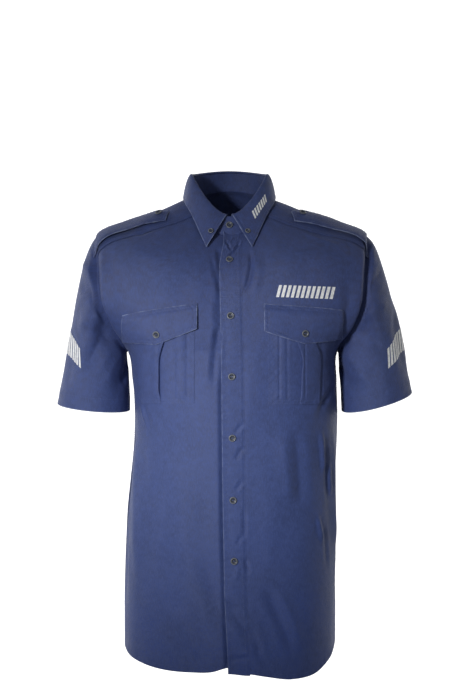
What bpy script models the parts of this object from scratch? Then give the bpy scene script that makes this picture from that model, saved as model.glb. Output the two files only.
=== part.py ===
"""Short-sleeved police uniform shirt in the hollow form it has when it is worn.

Metres, +Z up. The origin is the middle of the neck at shoulder height. The front faces -Y and +X is the
wearer's left. The cloth pieces are walls on one worn surface, torso(turn, climb): turn is the angle round
the body in degrees, 0 at the centre front, 90 on the wearer's left and 180 at the centre back; climb is the
height below the armpit, and above it a length that runs up the armhole and in along the shoulder.
"""

from collections import namedtuple

import bmesh
import bpy
import numpy as np
from mathutils import Matrix, Vector

# Cloth
CLOTH = 0.0012
SEAM_GAP = 0.0003
ARMHOLE_GAP = 0.0008
LAYER = CLOTH + SEAM_GAP

# Marks on the worn surface, as climbs
ARMPIT = -0.250
SHOULDER_TIP = -0.060
NECKLINE = 0.090
BACK_YOKE_SEAM = -0.095
FRONT_YOKE_SEAM = -0.088
HEM_RUN_OUT = -0.640
ROWS_CLOSING = 1.5
COLUMNS_CLOSING = 0.9

# Armhole and yoke, as turns
ARMHOLE_TURN = 19.0
ARMHOLE_REACH = 0.22
FRONT_YOKE_NECK_TURN = 56.0
BACK_YOKE_NECK_TURN = 116.0
BACK_YOKE_GAP = SEAM_GAP * 1.8

# Sections of the worn surface from below the hem up to the neck. front, back and side are where the ring
# crosses the centre front, the centre back and the side seam or shoulder ridge; right_x and left_x are the
# half widths on the wearer's two sides. Above the armpit the sides lie in the open armhole.
Section = namedtuple(
    "Section", "climb front_y front_z back_y back_z right_x left_x side_y side_z centre_x squareness"
)
SECTIONS = (
    Section(-0.820, -0.126, -0.820, 0.129, -0.820, 0.176, 0.172, 0.002, -0.820, 0.012, 2.5),
    Section(-0.740, -0.127, -0.740, 0.127, -0.740, 0.176, 0.172, 0.002, -0.740, 0.010, 2.5),
    Section(-0.647, -0.128, -0.647, 0.121, -0.647, 0.176, 0.1725, 0.002, -0.647, 0.0055, 2.5),
    Section(-0.567, -0.129, -0.567, 0.115, -0.567, 0.174, 0.1725, 0.002, -0.567, 0.004, 2.5),
    Section(-0.517, -0.130, -0.517, 0.112, -0.517, 0.171, 0.171, 0.002, -0.517, 0.003, 2.5),
    Section(-0.467, -0.131, -0.467, 0.110, -0.467, 0.166, 0.171, 0.002, -0.467, 0.0022, 2.5),
    Section(-0.412, -0.133, -0.412, 0.111, -0.412, 0.161, 0.1735, 0.002, -0.412, 0.0016, 2.5),
    Section(-0.357, -0.135, -0.357, 0.114, -0.357, 0.160, 0.1755, 0.002, -0.357, 0.001, 2.5),
    Section(-0.300, -0.136, -0.300, 0.119, -0.300, 0.1635, 0.1735, 0.003, -0.300, 0.0005, 2.5),
    Section(-0.250, -0.135, -0.250, 0.123, -0.250, 0.1730, 0.1760, 0.004, -0.250, 0.000, 2.5),
    Section(-0.205, -0.133, -0.225, 0.126, -0.195, 0.210, 0.213, 0.005, -0.206, -0.001, 2.5),
    Section(-0.155, -0.130, -0.198, 0.127, -0.150, 0.246, 0.248, 0.005, -0.157, -0.0015, 2.45),
    Section(-0.105, -0.1245, -0.170, 0.125, -0.108, 0.244, 0.246, 0.005, -0.105, -0.002, 2.4),
    Section(-0.060, -0.117, -0.145, 0.121, -0.077, 0.222, 0.224, 0.005, -0.060, -0.0025, 2.3),
    Section(-0.010, -0.1045, -0.117, 0.112, -0.047, 0.174, 0.174, 0.005, -0.0400, -0.003, 2.2),
    Section(0.040, -0.084, -0.090, 0.094, -0.013, 0.121, 0.118, 0.005, -0.0190, -0.0035, 2.1),
    Section(0.090, -0.058, -0.062, 0.068, 0.018, 0.0735, 0.0665, 0.005, 0.0015, -0.0035, 2.0),
    Section(0.100, -0.052, -0.057, 0.061, 0.023, 0.066, 0.059, 0.005, 0.004, -0.0035, 2.0),
)

# How the rings fall away from the shoulder ridge: powers of the cosine, lower ones falling sooner.
FRONT_SLOPE = 1.35
BACK_SLOPE = 1.7
STAND_SLOPE = 1.7

# Height of the hem round the body; the back tail is the longer one.
Hem = namedtuple("Hem", "turn height")
HEM = (
    Hem(-180, -0.790),
    Hem(-140, -0.784),
    Hem(-115, -0.757),
    Hem(-100, -0.738),
    Hem(-90, -0.733),
    Hem(-80, -0.742),
    Hem(-65, -0.755),
    Hem(-50, -0.764),
    Hem(-32, -0.767),
    Hem(-18, -0.766),
    Hem(-8, -0.760),
    Hem(8, -0.769),
    Hem(20, -0.774),
    Hem(37, -0.779),
    Hem(52, -0.773),
    Hem(65, -0.755),
    Hem(80, -0.734),
    Hem(90, -0.719),
    Hem(100, -0.728),
    Hem(115, -0.752),
    Hem(140, -0.784),
    Hem(180, -0.790),
)

# Collar: the stand's top ring, and the leaf's outer edge as places on the worn surface, lifted off it.
STAND_TOP = Section(0, -0.0475, -0.031, 0.062, 0.050, 0.0650, 0.0580, 0.005, 0.040, -0.0035, 2.0)
STAND_RISE = 0.0014
STAND_UNDER_TURN = 14.0
STAND_OVER_TURN = 17.0
STAND_UNDER_RUN = 28.0
STAND_OVER_RUN = 32.0
STAND_BLEND_TURN = 45.0
LEAF_RISE = 0.0011
LEAF_ROLL_UP = 0.007
LEAF_ROLL_OUT = 0.010
LEAF_ROLL_EASE = 0.001
LEAF_SIDE_TURN = 70.0
LEAF_SHARES = (0, 0.10, 0.22, 0.36, 0.52, 0.70, 0.85, 1.0)
LeafEdge = namedtuple("LeafEdge", "roll_turn edge_x edge_z lift")
LEAF_FRONT = (
    LeafEdge(3.5, 0.0375, -0.0850, 0.0035),
    LeafEdge(14.0, 0.0455, -0.0690, 0.0045),
    LeafEdge(30.0, 0.0545, -0.0490, 0.0055),
    LeafEdge(50.0, 0.0645, -0.0270, 0.0060),
)
LeafBack = namedtuple("LeafBack", "roll_turn edge_turn edge_climb lift")
LEAF_BACK = (
    LeafBack(72.0, 73.0, 0.0830, 0.0060),
    LeafBack(95.0, 95.0, 0.0840, 0.0060),
    LeafBack(125.0, 127.0, 0.0810, 0.0055),
    LeafBack(155.0, 156.0, 0.0780, 0.0050),
    LeafBack(180.0, 180.0, 0.0770, 0.0050),
)

# Placket: the strip's two edges each side of the centre line; its free edge curls back near the neck.
PLACKET_FREE = 0.0165
PLACKET_SEWN = 0.0195
PLACKET_CURL = 0.0095
PLACKET_CURL_TOP = -0.060
PLACKET_CURL_END = -0.118
PLACKET_TURN_REACH = 0.09
PLACKET_LIFT = 0.0006
UNDERLAP = 0.0130
UNDERLAP_FADE = 0.045
UNDERLAP_CLEAR = 0.0001

# Sleeves: the hem ring, and how each lengthwise line leaves the armhole and arrives at the hem. Top is the
# line over the shoulder and under the one in the armpit; each pair is a part of the line's direction.
SLEEVE_LEAVE = 0.11
SLEEVE_ARRIVE = 0.40
SLEEVE_ROWS_OPENING = 1.15
LEAVE_OUT_TOP = 0.94
LEAVE_OUT_UNDER = 0.02
LEAVE_DOWN_TOP = 0.42
LEAVE_DOWN_UNDER = 1.0
LEAVE_FORWARD = 0.10
ARRIVE_OUT_TOP = 0.20
ARRIVE_OUT_UNDER = 0.04
UNDERARM_LIFT = LAYER + 0.0006
Cuff = namedtuple("Cuff", "side inner_x outer_x middle_y half_depth inner_z outer_z front_drop")
CUFFS = {
    "left": Cuff(1, 0.1835, 0.2990, 0.002, 0.066, -0.351, -0.320, 0.009),
    "right": Cuff(-1, 0.1700, 0.2880, 0.002, 0.066, -0.350, -0.339, 0.006),
}

# Pockets and flaps as seen from the front: x is the distance from the centre plane.
Patch = namedtuple("Patch", "side inner_x outer_top_x outer_bottom_x top_z bottom_z pleat_share")
POCKETS = {
    "right": Patch(-1, 0.0590, 0.1660, 0.1570, -0.207, -0.3360, 0.50),
    "left": Patch(1, 0.0585, 0.1690, 0.1680, -0.207, -0.3370, 0.45),
}
PocketFlap = namedtuple(
    "PocketFlap", "side inner_x outer_x inner_top_z outer_top_z side_drop point_drop point_share"
)
FLAPS = {
    "right": PocketFlap(-1, 0.0545, 0.1755, -0.1745, -0.1935, 0.0420, 0.0560, 0.56),
    "left": PocketFlap(1, 0.0520, 0.1790, -0.1755, -0.1850, 0.0450, 0.0590, 0.55),
}
PLEAT_HALF = 0.0150
PLEAT_SIDE = 0.0030
PLEAT_RISE = 0.0012
PLEAT_FLAT = 0.05
PLEAT_FULL = 0.35
PATCH_CLEAR = 0.0010
FLAP_RISE = 0.0016
FLAP_SEAT = 0.28

# Epaulettes: forward of the shoulder ridge, from the armhole to a point near the collar.
STRAP_FORWARD = 0.0260
STRAP_INSET = 0.0015
STRAP_INNER = 0.0410
STRAP_POINT = 0.0130
STRAP_OUTER_HALF = 0.0250
STRAP_INNER_HALF = 0.0200
STRAP_ARCH = 0.0020
STRAP_CLEAR = 0.0002
STRAP_BUTTON_CLEAR = 0.0003

# Buttons
BUTTON_RADIUS = 0.00575
COLLAR_BUTTON_RADIUS = 0.0045
BUTTON_THICK = 0.0022
BUTTON_BEVEL = 0.0006
BUTTON_SIDES = 16
FRONT_BUTTON_HEIGHTS = (-0.1040, -0.1955, -0.2925, -0.3905, -0.4900, -0.5875)
STAND_BUTTON_SHARE = 0.5
FLAP_BUTTON_SHARE = 0.72
STRAP_BUTTON_SHARE = 0.865
COLLAR_BUTTON_TURN = 9.0
COLLAR_BUTTON_SHARE = 0.86

# Largest folds. A soft trough (depth below 0) or ridge along a line between two places on the surface;
# width is its half width where the depth has fallen to a third.
Fold = namedtuple("Fold", "turn_a climb_a turn_b climb_b width depth")
TORSO_FOLDS = (
    Fold(22, -0.36, 44, -0.52, 0.016, -0.0035),
    Fold(30, -0.34, 52, -0.47, 0.012, 0.0025),
    Fold(18, -0.64, 34, -0.74, 0.014, -0.0040),
    Fold(70, -0.37, 76, -0.60, 0.013, 0.0040),
    Fold(80, -0.40, 84, -0.66, 0.010, -0.0035),
    Fold(-72, -0.38, -66, -0.62, 0.016, 0.0035),
    Fold(-84, -0.36, -80, -0.70, 0.012, -0.0030),
    Fold(-36, -0.42, -30, -0.70, 0.020, 0.0025),
    Fold(150, -0.30, 165, -0.70, 0.020, 0.0040),
    Fold(-160, -0.28, -150, -0.68, 0.020, 0.0040),
    Fold(178, -0.26, 180, -0.66, 0.016, -0.0035),
    Fold(122, -0.30, 130, -0.62, 0.014, -0.0040),
    Fold(-124, -0.30, -132, -0.64, 0.014, -0.0040),
)
SleeveFold = namedtuple("SleeveFold", "phi_a reach_a phi_b reach_b width depth")
SLEEVE_FOLDS = (
    SleeveFold(-40, 0.10, 40, 0.75, 0.012, -0.0045),
    SleeveFold(-20, 0.05, 60, 0.50, 0.011, 0.0035),
    SleeveFold(215, 0.10, 140, 0.75, 0.012, -0.0045),
    SleeveFold(200, 0.05, 120, 0.50, 0.011, 0.0035),
)

# Steps for the normals of each surface: degrees round it, then climb, reach or share.
TORSO_STEPS = {"du": 0.2, "dv": 0.0005}
SLEEVE_STEPS = {"du": 1.0, "dv": 0.002}
STAND_STEPS = {"du": 0.5, "dv": 0.01}
LEAF_STEPS = {"du": 0.05, "dv": 0.002}

NAVY = (0.052, 0.072, 0.180, 1.0)
NAVY_LIGHT = (0.062, 0.084, 0.200, 1.0)
BUTTON_GREY = (0.045, 0.055, 0.085, 1.0)


def through(xs, ys, x):
    """Smooth curve through (xs, ys) at x: cubic pieces whose slopes come from the neighbouring points."""
    xs, ys = np.asarray(xs, float), np.asarray(ys, float)
    slopes = np.gradient(ys, xs)
    x = np.clip(x, xs[0], xs[-1])
    i = np.clip(np.searchsorted(xs, x) - 1, 0, len(xs) - 2)
    step = xs[i + 1] - xs[i]
    t = (x - xs[i]) / step
    start = ys[i] * (1 + 2 * t) * (1 - t) ** 2 + slopes[i] * step * t * (1 - t) ** 2
    return start + ys[i + 1] * t**2 * (3 - 2 * t) + slopes[i + 1] * step * t**2 * (t - 1)


def ease(x, start, end):
    """0 before start, 1 after end, and a smooth step between them."""
    t = np.clip((np.asarray(x, float) - start) / (end - start), 0, 1)
    return t * t * (3 - 2 * t)


def at_climb(climb):
    """The section at a climb, with every column read from its smooth curve."""
    climbs = [row.climb for row in SECTIONS]
    columns = [through(climbs, column, climb) for column in zip(*SECTIONS, strict=True)]
    return Section(*columns)


def ring(section, turn, front_slope=FRONT_SLOPE):
    """Point of a section's ring: a rounded oblong in plan, its height following a power of the cosine."""
    sine, cosine = np.sin(np.radians(turn)), np.cos(np.radians(turn))
    half = np.where(sine >= 0, section.left_x - section.centre_x, section.right_x + section.centre_x)
    depth = np.where(cosine >= 0, section.side_y - section.front_y, section.back_y - section.side_y)
    power = section.squareness
    radius = (np.abs(sine / half) ** power + np.abs(cosine / depth) ** power) ** (-1 / power)
    end_z = np.where(cosine >= 0, section.front_z, section.back_z)
    slope = np.where(cosine >= 0, front_slope, BACK_SLOPE)
    height = section.side_z + (end_z - section.side_z) * np.abs(cosine) ** slope
    return np.stack([section.centre_x + radius * sine, section.side_y - radius * cosine, height], axis=-1)


def smooth_torso(turn, climb):
    """The worn surface without folds."""
    turn, climb = np.broadcast_arrays(np.asarray(turn, float), np.asarray(climb, float))
    return ring(at_climb(climb), turn)


def normals(shape, u, v, du, dv):
    """Unit normals of shape(u, v), from points a little way to each side along u and v."""
    along = shape(u + du, v) - shape(u - du, v)
    across = shape(u, v + dv) - shape(u, v - dv)
    normal = np.cross(along, across)
    return normal / np.linalg.norm(normal, axis=-1, keepdims=True)


def lifted(shape, u, v, lift, du=TORSO_STEPS["du"], dv=TORSO_STEPS["dv"]):
    """Points of shape(u, v) moved along its normals by lift."""
    u, v, lift = np.broadcast_arrays(np.asarray(u, float), np.asarray(v, float), np.asarray(lift, float))
    return shape(u, v) + normals(shape, u, v, du, dv) * lift[..., None]


def fold_depth(points, lines, widths, depths):
    """Sum of the folds at points: each falls off as a bell curve from its line and fades at its ends."""
    total = np.zeros(points.shape[:-1])
    for line, width, depth in zip(lines, widths, depths, strict=True):
        best = np.full(total.shape, 1e9)
        share = np.zeros(total.shape)
        pieces = len(line) - 1
        for i in range(pieces):
            run = line[i + 1] - line[i]
            t = np.clip(((points - line[i]) @ run) / (run @ run), 0, 1)
            gap = np.linalg.norm(points - line[i] - t[..., None] * run, axis=-1)
            share = np.where(gap < best, (i + t) / pieces, share)
            best = np.minimum(best, gap)
        ends = 0.35 + 0.65 * np.sin(np.pi * np.clip(share, 0, 1))
        total += depth * ends * np.exp(-((best / width) ** 2))
    return total


def line_on(shape, a, b, count=7):
    """Points of shape along the straight line in its parameters from a to b."""
    t = np.linspace(0, 1, count)
    return shape(a[0] + (b[0] - a[0]) * t, a[1] + (b[1] - a[1]) * t)


TORSO_FOLD_LINES = [
    line_on(smooth_torso, (fold.turn_a, fold.climb_a), (fold.turn_b, fold.climb_b)) for fold in TORSO_FOLDS
]


def torso(turn, climb):
    """The worn surface with its folds."""
    widths = [fold.width for fold in TORSO_FOLDS]
    depths = [fold.depth for fold in TORSO_FOLDS]
    depth = fold_depth(smooth_torso(turn, climb), TORSO_FOLD_LINES, widths, depths)
    return lifted(smooth_torso, turn, climb, depth)


def place_at(x, z):
    """(turn, climb) of the front where it is seen at x and z, by Newton's steps from a first guess."""
    x, z = np.broadcast_arrays(np.asarray(x, float), np.asarray(z, float))
    turn = np.degrees(np.arctan2(x, 0.13))
    climb = z + 0.03 * ease(z, -0.25, -0.10)
    for _ in range(25):
        here = smooth_torso(turn, climb)
        by_turn = (smooth_torso(turn + 0.1, climb) - here) / 0.1
        by_climb = (smooth_torso(turn, climb + 0.0005) - here) / 0.0005
        miss_x, miss_z = x - here[..., 0], z - here[..., 2]
        scale = by_turn[..., 0] * by_climb[..., 2] - by_climb[..., 0] * by_turn[..., 2]
        turn = turn + np.clip((miss_x * by_climb[..., 2] - miss_z * by_climb[..., 0]) / scale, -10, 10)
        climb = climb + np.clip((miss_z * by_turn[..., 0] - miss_x * by_turn[..., 2]) / scale, -0.03, 0.03)
    return turn, climb


def turn_of(offset, climb):
    """Turn at which the surface is offset metres to the wearer's left of the centre line."""
    climb = np.asarray(climb, float)
    turn = np.degrees(np.arctan2(offset, 0.12)) + 0 * climb
    centre = at_climb(climb).centre_x
    for _ in range(12):
        here = smooth_torso(turn, climb)[..., 0]
        slope = (smooth_torso(turn + 0.1, climb)[..., 0] - here) / 0.1
        turn = turn + (centre + offset - here) / slope
    return turn


def armhole_spread(climb):
    """Half the armhole's width in degrees at a climb: a half ellipse from armpit to shoulder tip."""
    middle = (SHOULDER_TIP + ARMPIT) / 2
    reach = (SHOULDER_TIP - ARMPIT) / 2
    return ARMHOLE_TURN * np.sqrt(np.clip(1 - ((climb - middle) / reach) ** 2, 0, 1))


def armhole_climb(angle):
    """Climb on the armhole at an angle from its lowest point, 0, to the shoulder tip, 180."""
    middle = (SHOULDER_TIP + ARMPIT) / 2
    return middle - (SHOULDER_TIP - ARMPIT) / 2 * np.cos(np.radians(angle))


def armhole_angle(climb):
    """The angle whose climb is given."""
    middle = (SHOULDER_TIP + ARMPIT) / 2
    return np.degrees(np.arccos((middle - climb) / ((SHOULDER_TIP - ARMPIT) / 2)))


def body_rows(top_climb, below, through_body, beside_armhole):
    """Rows from the hem to top_climb: shares of the way from the hem to the run-out, then climbs."""
    shares = np.linspace(0, 1, below, endpoint=False)
    closing = 1 - np.linspace(1, 0, through_body, endpoint=False) ** ROWS_CLOSING
    straight = HEM_RUN_OUT + (ARMPIT - HEM_RUN_OUT) * closing
    beside = armhole_climb(np.linspace(0, armhole_angle(top_climb), beside_armhole))
    return shares, np.concatenate([straight, beside])


def row_climbs(shares, climbs, turn):
    """Climb of each grid point: the low rows bend to follow the hem, the rest are level."""
    hem = through([row.turn for row in HEM], [row.height for row in HEM], turn)
    low = hem[: len(shares)] + (HEM_RUN_OUT - hem[: len(shares)]) * shares[:, None]
    return np.concatenate([low, np.broadcast_to(climbs[:, None], (len(climbs), turn.shape[1]))])


def seam_turn(climb):
    """Half a seam's gap, in degrees round the body."""
    return np.degrees(SEAM_GAP / 2 / at_climb(climb).left_x)


def collection_for(name):
    found = bpy.data.collections.new(name)
    bpy.context.scene.collection.children.link(found)
    return found


def material(name, colour, roughness):
    made = bpy.data.materials.new(name)
    made.use_nodes = True
    shader = made.node_tree.nodes["Principled BSDF"]
    shader.inputs["Base Color"].default_value = colour
    shader.inputs["Roughness"].default_value = roughness
    shader.inputs["Metallic"].default_value = 0.0
    return made


def add_object(name, mesh, colour, roughness, smooth_angle=0.7):
    mesh.materials.append(material(name + "_finish", colour, roughness))
    mesh.shade_smooth()
    mesh.set_sharp_from_angle(angle=smooth_angle)
    made = bpy.data.objects.new(name, mesh)
    SHIRT.objects.link(made)
    return made


def wall(name, inner, outer, closed=False, colour=NAVY):
    """Closed wall between two grids of points; closed joins each row's last point to its first."""
    rows, columns = inner.shape[:2]
    index = np.arange(rows * columns).reshape(rows, columns)
    if closed:
        index = np.concatenate([index, index[:, :1]], axis=1)
    far = index + rows * columns
    corners = [index[:-1, :-1], index[:-1, 1:], index[1:, 1:], index[1:, :-1]]
    sheet = np.stack(corners, axis=-1).reshape(-1, 4)
    faces = [sheet, sheet[:, ::-1] + rows * columns]
    edges = [(index[0], far[0]), (index[-1][::-1], far[-1][::-1])]
    if not closed:
        edges += [(index[::-1, 0], far[::-1, 0]), (index[:, -1], far[:, -1])]
    for near_edge, far_edge in edges:
        faces.append(np.stack([near_edge[:-1], far_edge[:-1], far_edge[1:], near_edge[1:]], axis=-1))
    points = np.concatenate([inner.reshape(-1, 3), outer.reshape(-1, 3)])
    mesh = bpy.data.meshes.new(name)
    mesh.from_pydata(points.tolist(), [], np.concatenate(faces).tolist())
    work = bmesh.new()
    work.from_mesh(mesh)
    bmesh.ops.recalc_face_normals(work, faces=work.faces)
    work.to_mesh(mesh)
    work.free()
    return add_object(name, mesh, colour, 0.8)


def cloth_on(name, shape, u, v, lift=0.0, closed=False, colour=NAVY, **steps):
    """Wall of cloth whose middle lies on shape(u, v), moved out by lift."""
    inner = lifted(shape, u, v, lift - CLOTH / 2, **steps)
    outer = lifted(shape, u, v, lift + CLOTH / 2, **steps)
    return wall(name, inner, outer, closed, colour)


def front_grid(side):
    """(turn, climb) of a front from its centre edge to the side seam, armhole and front yoke seam."""
    shares, climbs = body_rows(FRONT_YOKE_SEAM, below=4, through_body=12, beside_armhole=11)
    top = np.linspace(FRONT_YOKE_SEAM, NECKLINE - SEAM_GAP, 7)[1:]
    climbs = np.concatenate([climbs, top])
    level = np.concatenate([HEM_RUN_OUT + 0 * shares, climbs])
    corner = 90 - armhole_spread(FRONT_YOKE_SEAM)
    along_seam = (level - FRONT_YOKE_SEAM) / (NECKLINE - FRONT_YOKE_SEAM)
    yoke_seam = corner + (FRONT_YOKE_NECK_TURN - corner) * along_seam
    outer = np.where(level <= FRONT_YOKE_SEAM, 90 - armhole_spread(level), yoke_seam) - seam_turn(level)
    centre = turn_of(PLACKET_SEWN + SEAM_GAP / 2 if side > 0 else -UNDERLAP, level)
    inner = side * centre
    turn = side * (inner[:, None] + (outer - inner)[:, None] * np.linspace(0, 1, 18) ** COLUMNS_CLOSING)
    return turn, row_climbs(shares, climbs, turn)


def make_fronts():
    turn, climb = front_grid(1)
    cloth_on("front_left", torso, turn, climb)
    turn, climb = front_grid(-1)
    offset = smooth_torso(turn, climb)[..., 0] - at_climb(climb).centre_x
    under = 1 - ease(-offset, PLACKET_FREE + 0.002, PLACKET_FREE + UNDERLAP_FADE)
    cloth_on("front_right", torso, turn, climb, -(LAYER - PLACKET_LIFT + UNDERLAP_CLEAR) * under)


def make_placket():
    """Strip whose free edge laps over the right front and whose other edge meets the left front."""
    shares, climbs = body_rows(FRONT_YOKE_SEAM, below=3, through_body=14, beside_armhole=8)
    climbs = np.concatenate([climbs, np.linspace(FRONT_YOKE_SEAM, NECKLINE - SEAM_GAP, 8)[1:]])
    level = np.concatenate([HEM_RUN_OUT + 0 * shares, climbs])
    height = at_climb(level).front_z
    curl = PLACKET_CURL * ease(height, PLACKET_CURL_END, PLACKET_CURL_TOP)
    free = turn_of(-PLACKET_FREE, level) + np.degrees(curl / PLACKET_TURN_REACH)
    sewn = turn_of(PLACKET_SEWN - SEAM_GAP / 2, level)
    turn = free[:, None] + (sewn - free)[:, None] * np.linspace(0, 1, 4)
    cloth_on("placket", torso, turn, row_climbs(shares, climbs, turn), PLACKET_LIFT, colour=NAVY_LIGHT)


def make_back():
    shares, climbs = body_rows(BACK_YOKE_SEAM, below=4, through_body=11, beside_armhole=8)
    level = np.concatenate([HEM_RUN_OUT + 0 * shares, climbs])
    edge = 90 + armhole_spread(level) + seam_turn(level)
    turn = edge[:, None] + (360 - 2 * edge)[:, None] * np.linspace(0, 1, 25)
    wrapped = np.where(turn > 180, turn - 360, turn)
    cloth_on("back", torso, turn, row_climbs(shares, climbs, wrapped))


def make_yoke():
    """Ruled between the neckline and the outer edge: front corner, armhole, back seam and round again."""
    front, back = armhole_angle(FRONT_YOKE_SEAM), armhole_angle(BACK_YOKE_SEAM)
    gap = np.degrees(SEAM_GAP / at_climb(FRONT_YOKE_SEAM).left_x)
    over_front = np.linspace(front, 180, 6)
    over_back = np.linspace(180, back, 5)[1:]
    front_turn = 90 - armhole_spread(armhole_climb(over_front)) + np.where(over_front == front, gap, 0)
    back_turn = 90 + armhole_spread(armhole_climb(over_back))
    along_back = np.linspace(back_turn[-1], 180, 9)[1:]
    seam_climb = BACK_YOKE_SEAM + BACK_YOKE_GAP
    outer_turn = np.concatenate([front_turn, back_turn, along_back])
    over_arm = armhole_climb(np.concatenate([over_front, over_back]))
    outer_climb = np.concatenate([over_arm, 0 * along_back + seam_climb])
    outer_climb = np.maximum(outer_climb, np.where(outer_turn > 90, seam_climb, -1))
    inner_gap = np.degrees(SEAM_GAP / at_climb(NECKLINE).left_x)
    knots = [outer_turn[0], 90, back_turn[-1], 180]
    neck_turns = [FRONT_YOKE_NECK_TURN + inner_gap, 90, BACK_YOKE_NECK_TURN, 180]
    inner_turn = np.interp(outer_turn, knots, neck_turns)
    outer_turn = np.concatenate([outer_turn, 360 - outer_turn[-2::-1]])
    outer_climb = np.concatenate([outer_climb, outer_climb[-2::-1]])
    inner_turn = np.concatenate([inner_turn, 360 - inner_turn[-2::-1]])
    share = np.linspace(0, 1, 7)[:, None]
    turn = outer_turn + (inner_turn - outer_turn) * share
    climb = outer_climb + (NECKLINE - SEAM_GAP - outer_climb) * share
    cloth_on("yoke", torso, turn, climb)


def bezier(points, t):
    """Cubic curve from points[0] to points[3], leaving towards points[1] and arriving from points[2]."""
    t = np.asarray(t, float)[..., None]
    a, b, c, d = points
    return (1 - t) ** 3 * a + 3 * (1 - t) ** 2 * t * b + 3 * (1 - t) * t**2 * c + t**3 * d


def smooth_sleeve(cuff, phi, reach):
    """Sleeve point: phi goes from the front, 0, over the top, 90; reach is 0 at the armhole, 1 at the hem."""
    phi, reach = np.broadcast_arrays(np.asarray(phi, float), np.asarray(reach, float))
    cosine, sine = np.cos(np.radians(phi)), np.sin(np.radians(phi))
    middle, half = (SHOULDER_TIP + ARMPIT) / 2, (SHOULDER_TIP - ARMPIT) / 2
    spread = ARMHOLE_TURN - np.degrees(ARMHOLE_GAP / ARMHOLE_REACH)
    turn = cuff.side * (90 - spread * cosine)
    under = ease(-sine, 0.2, 1.0)
    start = lifted(smooth_torso, turn, middle + (half - ARMHOLE_GAP) * sine, UNDERARM_LIFT * under)
    middle_x, half_x = (cuff.inner_x + cuff.outer_x) / 2, (cuff.outer_x - cuff.inner_x) / 2
    end_z = (cuff.inner_z + cuff.outer_z) / 2 + (cuff.outer_z - cuff.inner_z) / 2 * sine
    end_z = end_z - cuff.front_drop * cosine
    end_x, end_y = cuff.side * (middle_x + half_x * sine), cuff.middle_y - cuff.half_depth * cosine
    end = np.stack([end_x, end_y, end_z], axis=-1)
    low = (1 - sine) / 2
    out = LEAVE_OUT_UNDER + (LEAVE_OUT_TOP - LEAVE_OUT_UNDER) * (1 - low**2)
    down = LEAVE_DOWN_TOP + (LEAVE_DOWN_UNDER - LEAVE_DOWN_TOP) * low
    leave = np.stack([cuff.side * out, -LEAVE_FORWARD * cosine, -down], axis=-1)
    leave = leave / np.linalg.norm(leave, axis=-1, keepdims=True)
    outward = ARRIVE_OUT_TOP + (ARRIVE_OUT_UNDER - ARRIVE_OUT_TOP) * low
    arrive = np.stack([cuff.side * outward, 0 * low, -1 + 0 * low], axis=-1)
    length = np.linalg.norm(end - start, axis=-1, keepdims=True)
    first, second = start + leave * length * SLEEVE_LEAVE, end - arrive * length * SLEEVE_ARRIVE
    return bezier((start, first, second, end), reach)


def sleeve_shape(cuff):
    """The sleeve's surface with its folds, as a function of phi and reach."""

    def bare(phi, reach):
        return smooth_sleeve(cuff, phi, reach)

    ends = [((fold.phi_a, fold.reach_a), (fold.phi_b, fold.reach_b)) for fold in SLEEVE_FOLDS]
    lines = [line_on(bare, a, b) for a, b in ends]
    widths, depths = [fold.width for fold in SLEEVE_FOLDS], [fold.depth for fold in SLEEVE_FOLDS]

    def folded(phi, reach):
        phi, reach = np.broadcast_arrays(np.asarray(phi, float), np.asarray(reach, float))
        depth = fold_depth(bare(phi, reach), lines, widths, depths) * ease(reach, 0.0, 0.2)
        return lifted(bare, phi, reach, -cuff.side * depth, **SLEEVE_STEPS)

    return folded


def make_sleeves():
    phi = np.linspace(-90, 270, 28, endpoint=False)
    reach = np.linspace(0, 1, 12) ** SLEEVE_ROWS_OPENING
    for name, cuff in CUFFS.items():
        grid = np.broadcast_arrays(phi[None, :], reach[:, None])
        cloth_on("sleeve_" + name, sleeve_shape(cuff), *grid, closed=True, **SLEEVE_STEPS)


def stand_point(turn, share):
    """Collar stand: from the neckline, share 0, to the roll line, share 1."""
    base = smooth_torso(turn, NECKLINE + 0 * np.asarray(turn, float)) + (0, 0, STAND_RISE)
    return base + (ring(STAND_TOP, turn, STAND_SLOPE) - base) * np.asarray(share, float)[..., None]


def make_stand():
    """Band from its under end, round the back, to its over end, which laps 1 layer outside the first."""
    turn = np.linspace(STAND_UNDER_TURN, -360 - STAND_OVER_TURN, 40)
    under = 1 - ease(STAND_UNDER_TURN - turn, STAND_UNDER_RUN, STAND_UNDER_RUN + STAND_BLEND_TURN)
    over = 1 - ease(turn + 360 + STAND_OVER_TURN, STAND_OVER_RUN, STAND_OVER_RUN + STAND_BLEND_TURN)
    lift = (over - under) * LAYER / 2
    grid = np.broadcast_arrays(turn[None, :], np.linspace(0, 1, 4)[:, None], lift[None, :])
    cloth_on("collar_stand", stand_point, *grid, **STAND_STEPS)


def leaf_table():
    """Half the leaf: its roll turns and its outer edge's points, centre front to centre back, about x 0."""
    edge_x = np.array([row.edge_x for row in LEAF_FRONT]) + STAND_TOP.centre_x
    turn, climb = place_at(edge_x, [row.edge_z for row in LEAF_FRONT])
    front = lifted(smooth_torso, turn, climb, [row.lift for row in LEAF_FRONT])
    back = lifted(
        smooth_torso,
        [row.edge_turn for row in LEAF_BACK],
        [row.edge_climb for row in LEAF_BACK],
        [row.lift for row in LEAF_BACK],
    )
    edge = np.concatenate([front, back])
    edge[:, 0] -= STAND_TOP.centre_x
    edge[-1, 0] = 0
    return np.array([row.roll_turn for row in LEAF_FRONT + LEAF_BACK]), edge


LEAF_TURNS, LEAF_EDGE = leaf_table()


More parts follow.
